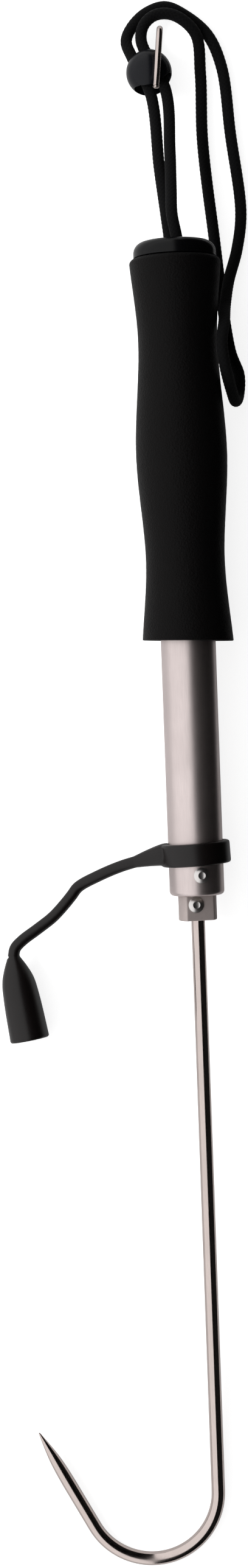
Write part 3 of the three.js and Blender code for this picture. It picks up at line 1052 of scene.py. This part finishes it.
@dataclass
class Plug:
    """The moulded plug: a flange over the tube's end, a spigot in its bore and the lanyard's hole."""

    flange_radius: float = 15.0
    flange_length: float = 5.8
    edge_rounding: float = 4.0
    spigot_length: float = 18.0
    spigot_radius: float = 8.7
    hole_radius: float = 4.6
    hole_rounding: float = 0.8
    cavity_wall: float = 1.7
    cavity_length: float = 15.8
    rim: float = 0.3

    def build(self, axes: Axes) -> None:
        """Makes the plug.

        Args:
            axes: Axes about the middle of its flange's inner face.
        """
        cavity = self.spigot_radius - self.cavity_wall
        floor = self.cavity_length - self.spigot_length
        profile = eased([
            (cavity, -self.spigot_length, self.rim), (self.spigot_radius, -self.spigot_length, self.rim),
            (self.spigot_radius, 0, 0), (self.flange_radius, 0, self.rim),
            (self.flange_radius, self.flange_length, self.edge_rounding),
            (self.hole_radius, self.flange_length, self.hole_rounding),
            (self.hole_radius, floor, self.rim), (cavity, floor, 0),
        ], steps=8)
        plug = make_object("moulded_plug", lathe(profile), axes)
        hand_over(plug, MOULDED_ABS, Slot.PLUG, Body.HANDLE, "end_plug")


@dataclass
class Braid:
    """The surface of a braided cord: two sets of strands wound against each other, over and under."""

    radius: float = 2.1
    proud: float = 0.05
    strands: int = 8
    lay: float = 13.0
    crown: float = 0.07
    lift: float = 0.07
    step: float = 0.3
    sides: int = 48

    def relief(self, runs: np.ndarray) -> np.ndarray:
        """Height of the strands, from 0 in the valleys to 1 on the crowns.

        Args:
            runs: How far along the cord each ring lies, in millimetres.

        Returns:
            The height for each ring and side.
        """
        around = np.arange(self.sides) / self.sides
        right = self.strands * (around[None] + runs[:, None] / self.lay)
        left = self.strands * (around[None] - runs[:, None] / self.lay)
        over = np.where((np.floor(right) + np.floor(left)) % 2 == 0, 1.0, -1.0)
        across, other = right % 1, left % 1
        first = self.crown * (1 - (2 * across - 1) ** 2) + self.lift * over * np.sin(np.pi * other)
        second = self.crown * (1 - (2 * other - 1) ** 2) - self.lift * over * np.sin(np.pi * across)
        height = np.maximum(first, second)
        return (height - height.min()) / (height.max() - height.min())

    def laid(self, name: str, path: np.ndarray, axes: Axes) -> bpy.types.Object:
        """Makes a cord along a path, with its strands in relief.

        Args:
            name: The object's name.
            path: The path, in millimetres, with a point for each ring.
            axes: The axes that the path is given on.

        Returns:
            The cord.
        """
        relief = self.relief(run_lengths(path))
        radii = self.radius + self.proud + (relief - 1) * (self.crown + self.lift)
        made = make_object(name, sweep(path, radii, self.sides), axes)
        # The relief is kept on the mesh for the finish's painted shade in the valleys
        layer = made.data.attributes.new(BRAID_ATTRIBUTE, "FLOAT", "POINT")
        layer.data.foreach_set("value", relief.ravel().astype(np.float32))
        return made


@dataclass
class Lanyard:
    """The doubled lanyard: its cord, the knot in the plug, and the ball with the clip that slide on it."""

    braid: Braid = field(default_factory=Braid)
    knot_width: float = 1.45
    knot_height: float = 2.0
    knot_turns: int = 160
    ball_radius: float = 8.4
    ball_grid: float = 0.22
    strand_spacing: float = 5.8
    slot_gap: float = 0.9
    slot_flare: float = 0.24
    slot_turn: float = 24.0
    slot_tilt: float = 12.0
    clip_radius: float = 1.15
    clip_gap: float = 0.3
    leg_rise: float = 3.6
    leg_start: float = 4.4
    clip_offset: float = 2.97
    clip_lean: float = 5.7
    apex_reach: float = 13.9
    bump_reach: float = -2.3
    bump_dip: float = 0.2
    lip_reach: float = -8.4
    lip_rise: float = 1.6
    clip_step: float = 0.3
    path_step: float = 1.0

    @property
    def route(self) -> Route:
        """The cord's route over the surface."""
        return Route(np.array(CORD_ROUTE) / MM)

    def build_cord(self, ground: Axes) -> bpy.types.Object:
        """Makes the cord along its route.

        Args:
            ground: Axes of the surface, under the mouth of the tube.

        Returns:
            The cord.
        """
        path = self.route.even(self.braid.step)
        cord = self.braid.laid("braided_cord", path, ground)
        return hand_over(cord, BLACK_POLYESTER, Slot.CORD, Body.HANDLE, "lanyard_cord", crease=180)

    def build_knot(self, axes: Axes) -> bpy.types.Object:
        """Makes the knot: a cord wound through itself three times, drawn up against its cavity.

        Args:
            axes: Axes about its middle.

        Returns:
            The knot.
        """
        turn = np.linspace(0, FULL_TURN, self.knot_turns)
        path = np.column_stack([
            self.knot_width * (np.sin(turn) + 2 * np.sin(2 * turn)),
            self.knot_height * -np.sin(3 * turn),
            self.knot_width * (np.cos(turn) - 2 * np.cos(2 * turn)),
        ])
        knot = self.braid.laid("drawn_knot", path[:-1], axes)
        return hand_over(knot, BLACK_POLYESTER, Slot.CORD, Body.HANDLE, "cord_knot", crease=180)

    def slot_tool(self, axes: Axes) -> bpy.types.Object:
        """A tool for the slot of both strands, which flares because they turn as the ball slides.

        Args:
            axes: Axes about the middle of the ball.

        Returns:
            The tool.
        """
        tilt, turn = np.radians(self.slot_tilt), np.radians(self.slot_turn)
        rings = []
        for along in (-2 * self.ball_radius, 0, 2 * self.ball_radius):
            behind, ahead = self.slot_flare * max(-along, 0), self.slot_flare * max(along, 0)
            half = self.braid.radius + self.slot_gap + behind
            outline = np.vstack([
                arc((self.strand_spacing / 2 + ahead, 0), half, -90, 90, steps=16),
                arc((-self.strand_spacing / 2 - behind, 0), half, 90, 270, steps=16),
            ])
            across, up = outline[:, 0], -outline[:, 1]
            run, rise = along * np.cos(tilt) + up * np.sin(tilt), up * np.cos(tilt) - along * np.sin(tilt)
            rings.append(np.column_stack([
                across * np.cos(turn) - run * np.sin(turn), across * np.sin(turn) + run * np.cos(turn), rise,
            ]))
        return make_object("slot_tool", skin(np.array(rings), Ends.CAPPED), axes)

    def clip_axes(self, axes: Axes) -> Axes:
        """Axes of the clip: its foot beside the ball's middle, leaning to the right."""
        lean = np.radians(self.clip_lean)
        return axes.moved(right=self.clip_offset).aimed(np.array([np.sin(lean), np.cos(lean), 0.0]))

    def build_ball(self, axes: Axes) -> bpy.types.Object:
        """Makes the ball with its slot and the socket of the clip.

        Args:
            axes: Axes about its middle.

        Returns:
            The ball.
        """
        circle = arc((0, 0), self.ball_radius, -90, 90, steps=64)
        circle[[0, -1], 0] = 0
        rough = make_object("ball_part", lathe(circle), axes)
        cut(rough, self.slot_tool(axes))
        ball = moulded("stopper_ball", [rough], self.ball_grid, rounds=4)
        leg = self.clip_axes(axes).moved(up=self.leg_rise)
        cut(ball, rod_tool(
            "socket_tool", self.clip_radius + FIT, self.leg_start - FIT, 2 * self.ball_radius, leg,
        ))
        return hand_over(ball, POLISHED_ABS, Slot.BALL, Body.SLIDER, "slider_ball")

    def build_clip(self, axes: Axes) -> bpy.types.Object:
        """Makes the clip: out of the ball, round its end and back over it.

        Args:
            axes: Axes about the middle of the ball.

        Returns:
            The clip.
        """
        top = self.ball_radius + self.clip_radius + self.clip_gap
        bend = (top - self.leg_rise) / 2
        loop = arc((self.apex_reach - bend, self.leg_rise + bend), bend, -90, 90, steps=12)
        side = np.vstack([
            [(self.leg_start, self.leg_rise)], loop,
            [(self.bump_reach + 2 * self.clip_radius, top), (self.bump_reach, top - self.bump_dip)],
            [(self.bump_reach - 2 * self.clip_radius, top), (self.lip_reach, top + self.lip_rise)],
        ])
        lean = np.tan(np.radians(self.clip_lean))
        stations = np.column_stack([self.clip_offset + lean * side[:, 0], side[:, 0], side[:, 1]])
        path, radii = domed(Route(stations).even(self.clip_step), self.clip_radius)
        clip = make_object("wire_clip", sweep(path, radii, sides=32, ends=Ends.POLED), axes)
        return hand_over(clip, POLISHED_STAINLESS, Slot.HOOK, Body.SLIDER, "pocket_clip", crease=60)

    def build(self, ground: Axes, ball: Axes, knot: Axes) -> None:
        """Makes the whole lanyard.

        Args:
            ground: Axes of the surface, under the mouth of the tube.
            ball: Axes about the middle of the ball.
            knot: Axes about the middle of the knot.
        """
        cord = self.build_cord(ground)
        carried = [self.build_knot(knot), self.build_ball(ball), self.build_clip(ball)]
        path = ground.place(self.route.even(self.path_step))


@dataclass
class HookSection:
    """What slides in the tube: the milled holder, the hook of round wire, and the lock behind them."""

    holder_radius: float = 7.0
    stub: float = 9.2
    holder_end: float = 31.5
    bore: float = 2.8
    edge: float = 0.4
    flat_height: float = 4.8
    flat_inside: float = 3.0
    flat_roll: float = 11.5
    flat_edge: float = 0.12
    flat_rings: int = 10
    holder_facets: int = 144
    socket: float = 22.0
    shank: float = 220.5
    bend_radius: float = 24.5
    bend_turn: float = 151.5
    limb: float = 18.4
    point: float = 22.0
    ground_shares: tuple[tuple[float, float], ...] = (
        (0.0, 0.25), (0.22, 1.15), (0.43, 1.85), (0.59, 2.2), (0.77, 2.4), (1.0, 2.5),
    )
    sharp_length: float = 0.75
    shank_rings: int = 60
    bend_rings: int = 90
    wire_sides: int = 48

    def build_holder(self, axes: Axes, rivet: Rivet) -> None:
        """Makes the holder: a thick sleeve with a flat milled on its outer end.

        Args:
            axes: The gaff's axes.
            rivet: The rivet in the holder.
        """
        front = -self.stub
        inner = self.bore + self.edge / 2
        nose = arc((self.holder_radius - self.edge, front + self.edge), self.edge, -90, 0, steps=5)
        flat = np.linspace(front + 2 * self.edge, self.flat_inside, self.flat_rings)
        stations = [
            (inner, front, True), *((radius, place, True) for radius, place in nose),
            *((self.holder_radius, place, True) for place in flat),
            (self.holder_radius, self.flat_inside, False), (self.holder_radius, self.holder_end, False),
            (self.bore, self.holder_end, False), (self.bore, front + self.edge / 2, False),
        ]
        angles = np.linspace(0, FULL_TURN, self.holder_facets, endpoint=False)
        rings = []
        for radius, place, milled in stations:
            across, height = radius * np.cos(angles), radius * np.sin(angles)
            if milled:
                level = self.flat_height - (self.holder_radius - radius if radius > self.flat_height else 0)
                height = level - self.flat_edge * np.logaddexp(0, (level - height) / self.flat_edge)
            rings.append(np.column_stack([across, np.full_like(across, place), height]))
        upright = axes.standing(self.flat_roll, 0)
        rolled = Axes(axes.origin, upright.right, axes.along, upright.along)
        holder = make_object("milled_holder", skin(np.array(rings), Ends.JOINED), rolled)
        start = abs(rivet.offset) - self.holder_radius
        cut(holder, rivet.hole("holder_hole", axes, start, 2 * self.holder_radius))
        hand_over(holder, MACHINED_STEEL, Slot.HOLDER, Body.HOOK, "hook_holder", crease=35)

    def wire_path(self) -> np.ndarray:
        """The hook's centre line, from its end in the holder to its tip.

        Returns:
            The line's points.
        """
        turn = np.radians(np.linspace(0, self.bend_turn, self.bend_rings))
        shank = [(0, place, 0) for place in np.linspace(self.socket, -self.shank, self.shank_rings)[:-1]]
        bend = np.column_stack([
            self.bend_radius * (np.cos(turn) - 1), -self.shank - self.bend_radius * np.sin(turn), 0 * turn,
        ])
        way = np.array([-np.sin(turn[-1]), -np.cos(turn[-1]), 0])
        limb = bend[-1] + np.linspace(0, 1, self.bend_rings)[1:, None] * (self.limb + self.point) * way
        return np.vstack([shank, bend, limb])

    def wire_radii(self, path: np.ndarray) -> np.ndarray:
        """The wire's radius, ground down to the tip, with soft turns from one taper to the next.

        Args:
            path: The wire's path.

        Returns:
            The radius at each point of the path.
        """
        left = run_lengths(path[::-1])[::-1]
        shares, radii = np.array(self.ground_shares).T
        ground = np.interp(left, shares * self.point, radii)
        beside = 4
        window = 2 * beside + 1
        padded = np.pad(ground, beside, mode="edge")
        soft = np.convolve(padded, np.full(window, 1 / window), mode="valid")
        return np.where(left > self.sharp_length, soft, ground)

    def build_hook(self, axes: Axes, rivet: Rivet) -> None:
        """Makes the hook, notched where the rivet holds it.

        Args:
            axes: The gaff's axes.
            rivet: The rivet in the holder.
        """
        path = self.wire_path()
        wire = sweep(path, self.wire_radii(path), self.wire_sides)
        hook = make_object("bent_hook", wire, axes)
        cut(hook, rivet.hole("notch_tool", axes, -self.holder_radius, self.holder_radius))
        hand_over(hook, POLISHED_STAINLESS, Slot.HOOK, Body.HOOK, "hook")

    def build(self, axes: Axes, rivet: Rivet) -> None:
        """Makes the holder and the hook, and dresses the lock.

        Args:
            axes: The gaff's axes.
            rivet: The rivet in the holder.
        """
        self.build_holder(axes, rivet)
        self.build_hook(axes, rivet)
        dress_node("lock_cam", TURNED_BRASS)
        dress_node("cam_pin", PRESSED_RIVET)
        dress_node("lock_sleeve", NATURAL_NYLON)


@dataclass
class PointGuard:
    """The rubber guard: a band round the tube, a strap and the cap that covers the point."""

    place: float = 15.2
    width: float = 8.2
    radius: float = 12.7
    bore: float = 10.3
    skew: float = 2.8
    edge: float = 0.8
    strap_radius: float = 2.15
    root_radius: float = 4.2
    root_length: float = 11.5
    root_depth: float = 4.0
    strap_span: float = 56.95
    cap_length: float = 31.0
    neck_radius: float = 2.35
    mouth_radius: float = 7.25
    cap_bore: float = 5.5
    cap_wall: float = 8.6
    lip: float = 0.5
    grid: float = 0.3
    swell_shares: tuple[tuple[float, float], ...] = ((0.12, 4.2), (0.27, 5.9), (0.5, 6.7))
    strap_step: float = 0.6
    cap_step: float = 1.0

    def band(self, axes: Axes) -> bpy.types.Object:
        """The band, a little askew on the tube. It reaches into the bore, which is cut after it.

        Args:
            axes: Axes about its middle.

        Returns:
            The band.
        """
        half, inside = self.width / 2, self.bore - 1
        profile = eased([
            (inside, -half, 0), (self.radius, -half, self.edge), (self.radius, half, self.edge),
            (inside, half, 0),
        ])
        turn = np.radians(self.skew)
        right = np.cos(turn) * axes.right + np.sin(turn) * axes.along
        along = np.cos(turn) * axes.along - np.sin(turn) * axes.right
        return make_object("band_part", lathe(profile), Axes(axes.origin, right, along, axes.up))

    def strap(self, axes: Axes, route: np.ndarray) -> bpy.types.Object:
        """The strap, thick where it grows out of the band. It too starts in the bore.

        Args:
            axes: Axes about the middle of the band.
            route: Points of the strap from the band to the cap's neck, in millimetres.

        Returns:
            The strap.
        """
        path = Route(np.vstack([route[0] + (self.root_depth, 0, 0), route])).even(self.strap_step)
        taper = np.clip(1 - (run_lengths(path) - self.root_depth) / self.root_length, 0, 1)
        radii = self.strap_radius + (self.root_radius - self.strap_radius) * taper
        return make_object("strap_part", sweep(path, radii, sides=40), axes)

    def cap(self, axes: Axes) -> bpy.types.Object:
        """The cap, swelling from the strap's neck to its mouth.

        Args:
            axes: Axes about its neck, along its own axis.

        Returns:
            The cap.
        """
        outside = Route([
            (self.neck_radius, 0, 0),
            *((radius, share * self.cap_length, 0) for share, radius in self.swell_shares),
            (self.mouth_radius, self.cap_length - self.lip, 0),
        ]).even(self.cap_step)[:, :2]
        profile = np.vstack([
            [(0, 0)], outside, [(self.mouth_radius - self.lip, self.cap_length)],
            [(self.cap_bore + self.lip, self.cap_length), (self.cap_bore, self.cap_length - self.lip)],
            [(self.cap_bore, self.cap_wall), (0, self.cap_wall)],
        ])
        return make_object("cap_part", lathe(profile, facets=96), axes)

    def build(self, gaff: Axes) -> None:
        """Makes the guard as one moulding.

        Args:
            gaff: The gaff's axes.
        """
        axes = gaff.moved(along=self.place)
        root = np.array([(self.bore - FIT + self.radius) / 2, 0, 0])
        route = np.array(STRAP_ROUTE_SHARES) * self.strap_span - root
        neck = axes.moved(*route[-1]).aimed(np.array(CAP_TILT))
        parts = [self.band(axes), self.strap(axes, route), self.cap(neck)]
        guard = moulded("rubber_guard", parts, self.grid, rounds=6)
        cut(guard, rod_tool("bore_tool", self.bore, -self.width, self.width, axes))
        hand_over(guard, SOFT_PVC, Slot.RUBBER, Body.GUARD, "point_guard", crease=50)


# The studio


@dataclass
class Studio:
    """A white table in a dark tent, open on the left to a soft lamp, a black card, and the camera above.

    The table, the tent and the lamp's disc are sized in metres.
    """

    camera_right: float = -25.3
    camera_along: float = 41.4
    camera_height: float = 1000.0
    camera_roll: float = 2.09
    focal_length: float = 62.0
    sensor: float = 36.0
    table: float = 6.0
    tent_radius: float = 1.6
    window_half: float = 90.0
    tent_colour: str = "#141414"
    card_place: float = 37.0
    card_reach: tuple[float, float] = (-320.0, 400.0)
    card_height: float = 90.0
    table_colour: str = "#b4b4b4"
    table_glow: float = 0.86
    mirrored_glow: float = 0.17
    tent_columns: int = 49
    tent_rows: int = 13
    tent_foot: float = 1.0
    lamp_size: float = 0.6
    lamp_power: float = 14.0
    lamp_place: tuple[float, float, float] = (-1000.0, 200.0, 750.0)

    def camera(self, ground: Axes) -> None:
        """Sets the camera right above the gaff, looking straight down.

        Args:
            ground: Axes of the surface, under the mouth of the tube.
        """
        lens = bpy.data.cameras.new("camera")
        lens.sensor_fit = "VERTICAL"
        lens.sensor_height = self.sensor
        lens.lens = self.focal_length
        holder = add_object("camera", lens)
        place = ground.moved(right=self.camera_right, along=self.camera_along, up=self.camera_height)
        holder.location = Vector(place.origin)
        holder.rotation_euler = (0, 0, -np.radians(self.camera_roll))
        bpy.context.scene.camera = holder

    def glow_for_view(self, tree: bpy.types.NodeTree) -> bpy.types.NodeSocket:
        """How much the table glows for the camera, and for metal and glass that mirror it.

        Args:
            tree: The table's node tree.

        Returns:
            The output that gives the glow.
        """
        path = add_node(tree, "ShaderNodeLightPath")
        mirror = add_node(tree, "ShaderNodeMath", {
            0: path.outputs["Is Glossy Ray"], 1: path.outputs["Is Transmission Ray"],
        }, operation="MAXIMUM")
        faint = add_node(tree, "ShaderNodeMath", {
            0: mirror.outputs[0], 1: self.mirrored_glow,
        }, operation="MULTIPLY")
        return add_node(tree, "ShaderNodeMath", {
            0: path.outputs["Is Camera Ray"], 1: self.table_glow, 2: faint.outputs[0],
        }, operation="MULTIPLY_ADD").outputs[0]

    def table_top(self) -> None:
        """Lays the white table, which keeps a soft shadow."""
        half = self.table / 2
        corners = [(-half, -half, 0), (half, -half, 0), (half, half, 0), (-half, half, 0)]
        top = add_mesh("table", corners, [(0, 1, 2, 3)])
        white = bpy.data.materials.new("white_table")
        white.use_nodes = True
        tree = white.node_tree
        tree.nodes.clear()
        paint = add_node(tree, "ShaderNodeBsdfDiffuse", {"Color": linear(self.table_colour)})
        glow = add_node(tree, "ShaderNodeEmission", {
            "Color": (1, 1, 1, 1), "Strength": self.glow_for_view(tree),
        })
        both = add_node(tree, "ShaderNodeAddShader", {0: paint.outputs[0], 1: glow.outputs[0]})
        add_node(tree, "ShaderNodeOutputMaterial", {"Surface": both.outputs[0]})
        top.data.materials.append(white)

    def hang(
        self, name: str, points: Sequence[Sequence[float]], faces: Sequence[tuple[int, ...]]
    ) -> bpy.types.Object:
        """Hangs a piece of black cloth that the camera doesn't see.

        Args:
            name: The name of the piece.
            points: Its points in the row frame, in metres.
            faces: Its faces.

        Returns:
            The piece.
        """
        cloth = add_mesh(name, points, faces)
        cloth.visible_camera = False
        black = bpy.data.materials.new(name)
        black.use_nodes = True
        shader = black.node_tree.nodes["Principled BSDF"]
        shader.inputs["Base Color"].default_value = linear(self.tent_colour)
        shader.inputs["Roughness"].default_value = 1.0
        shader.inputs["Specular IOR Level"].default_value = 0.0
        cloth.data.materials.append(black)
        return cloth

    def card(self, ground: Axes) -> None:
        """Stands a black card on the right, unseen by the camera, that only shiny surfaces show.

        Args:
            ground: Axes of the surface, under the mouth of the tube.
        """
        corners = [(self.card_place, along, up) for along in self.card_reach for up in (0, self.card_height)]
        card = self.hang("card", ground.place(np.array(corners, float)).tolist(), [(0, 1, 3, 2)])
        card.visible_diffuse = False
        card.visible_shadow = False

    def tent(self) -> None:
        """Sets up the dark tent, open to the light on the left."""
        half = 180 - self.window_half
        around = np.radians(np.linspace(-half, half, self.tent_columns))
        rise = np.radians(np.linspace(self.tent_foot, 90, self.tent_rows))
        points = [
            (self.tent_radius * np.cos(up) * np.cos(turn), self.tent_radius * np.cos(up) * np.sin(turn),
             self.tent_radius * np.sin(up))
            for up in rise for turn in around
        ]
        wide = self.tent_columns
        faces = [
            (at * wide + side, at * wide + side + 1, (at + 1) * wide + side + 1, (at + 1) * wide + side)
            for at in range(self.tent_rows - 1) for side in range(wide - 1)
        ]
        self.hang("tent", points, faces)

    def lights(self, ground: Axes) -> None:
        """Lights the table from the left: a white sky, and a soft lamp that only matt surfaces show.

        Args:
            ground: Axes of the surface, under the mouth of the tube.
        """
        world = bpy.data.worlds.new("studio")
        world.use_nodes = True
        tree = world.node_tree
        tree.nodes.clear()
        sky = add_node(tree, "ShaderNodeBackground", {"Color": (1, 1, 1, 1), "Strength": 1.0})
        add_node(tree, "ShaderNodeOutputWorld", {"Surface": sky.outputs[0]})
        bpy.context.scene.world = world
        lamp = bpy.data.lights.new("key", "AREA")
        lamp.shape = "DISK"
        lamp.size = self.lamp_size
        lamp.energy = self.lamp_power
        key = add_object("key", lamp)
        key.visible_glossy = False
        place = Vector(ground.moved(*self.lamp_place).origin)
        key.location = place
        key.rotation_euler = (Vector(ground.origin) - place).to_track_quat("-Z", "Y").to_euler()

    def build(self, ground: Axes) -> None:
        """Sets up everything but the camera.

        Args:
            ground: Axes of the surface, under the mouth of the tube.
        """
        self.table_top()
        self.tent()
        self.card(ground)
        self.lights(ground)
        bpy.context.scene.view_settings.view_transform = "Standard"


# Route of the lanyard over the surface, in metres from the mouth of the tube: from the plug through the
# ball, round by the right to the fold on the grip, and back
CORD_ROUTE = [
    (-0.0015, 0.2291, 0.0206), (-0.00155, 0.2370, 0.0209), (-0.0025, 0.2475, 0.0194),
    (-0.0042, 0.2660, 0.0140), (-0.0063, 0.2938, 0.0100), (-0.0126, 0.3084, 0.0066),
    (-0.0145, 0.3148, 0.0046), (-0.0123, 0.3204, 0.0029), (-0.0069, 0.3256, 0.00225),
    (0.00025, 0.32775, 0.00225), (0.0076, 0.3243, 0.00225), (0.0157, 0.3168, 0.00225),
    (0.0204, 0.3049, 0.00225), (0.0228, 0.2800, 0.00225), (0.0256, 0.2510, 0.0023),
    (0.0237, 0.2374, 0.0032), (0.0200, 0.2250, 0.0072), (0.0180, 0.2146, 0.0146),
    (0.0170, 0.2068, 0.0243), (0.0157, 0.1986, 0.0290), (0.01675, 0.1903, 0.02675),
    (0.0191, 0.1827, 0.01845), (0.0207, 0.18005, 0.01105), (0.02215, 0.18295, 0.0051),
    (0.02275, 0.1907, 0.0024), (0.0198, 0.2000, 0.00235), (0.0152, 0.2440, 0.00225),
    (0.0124, 0.2780, 0.00225), (0.0125, 0.3025, 0.0027), (0.0111, 0.3167, 0.00505),
    (0.0036, 0.3235, 0.0058), (-0.0031, 0.3240, 0.0058), (-0.00765, 0.32055, 0.0060),
    (-0.0090, 0.3146, 0.0061), (-0.00075, 0.2949, 0.01035), (-0.00015, 0.2720, 0.0154),
    (-0.0004, 0.2560, 0.0212), (-0.0005, 0.2465, 0.0246), (0.0010, 0.2370, 0.0247),
    (0.00105, 0.2290, 0.0242),
]

# Route of the strap from inside the band's wall to the cap's neck, in shares of the strap's span: across,
# along from the band's middle, and up from the gaff's axis
STRAP_ROUTE_SHARES = [
    (0.000, -0.002, 0.005), (-0.083, -0.017, -0.012), (-0.163, -0.037, -0.030), (-0.284, -0.071, -0.055),
    (-0.427, -0.127, -0.078), (-0.565, -0.198, -0.101), (-0.610, -0.252, -0.103), (-0.664, -0.314, -0.103),
    (-0.737, -0.387, -0.103), (-0.836, -0.459, -0.100), (-0.940, -0.531, -0.092), (-0.987, -0.580, -0.090),
    (-1.000, -0.636, -0.089),
]
# Direction of the cap from its neck to its mouth: across, along and up
CAP_TILT = [0.162, -0.985, 0.066]


def main() -> None:
    """Builds the camera and the lanyard first, then the gaff from the handle to the hook, and the studio."""
    logging.basicConfig(level=logging.INFO, format="%(name)s %(message)s")
    guard = PointGuard()
    gaff = gaff_axes(guard.place)
    ground = level_axes(gaff.origin * (1, 1, 0))
    studio = Studio()
    studio.camera(ground)

    tube, grip, plug, section, lanyard = Tube(), Grip(), Plug(), HookSection(), Lanyard()
    low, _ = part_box("slider_ball")
    ball = level_axes(np.array(low) + lanyard.ball_radius * MM)
    low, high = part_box("cord_knot")
    knot = Axes(np.array((low + high) / 2), gaff.right, gaff.along, gaff.up)
    lanyard.build(ground, ball, knot)

    bush_rivet = Rivet(
        "mouth_rivet", "bush_rivet", Body.HANDLE, place=7.7, roll=8.9, seat=tube.radius + FIT, shank=2.7,
    )
    hook_rivet = Rivet(
        "holder_rivet", "hook_rivet", Body.HOOK, place=-3.3, roll=section.flat_roll,
        seat=section.flat_height + FIT, shank=10.14, offset=-1.66,
    )
    tube.build(gaff, bush_rivet)
    grip.build(gaff.moved(along=tube.length - grip.length))
    plug.build(gaff.moved(along=tube.length + FIT))
    bush_rivet.build(gaff)
    section.build(gaff, hook_rivet)
    hook_rivet.build(gaff)
    guard.build(gaff)
    studio.build(ground)


if __name__ == "__main__":
    main()
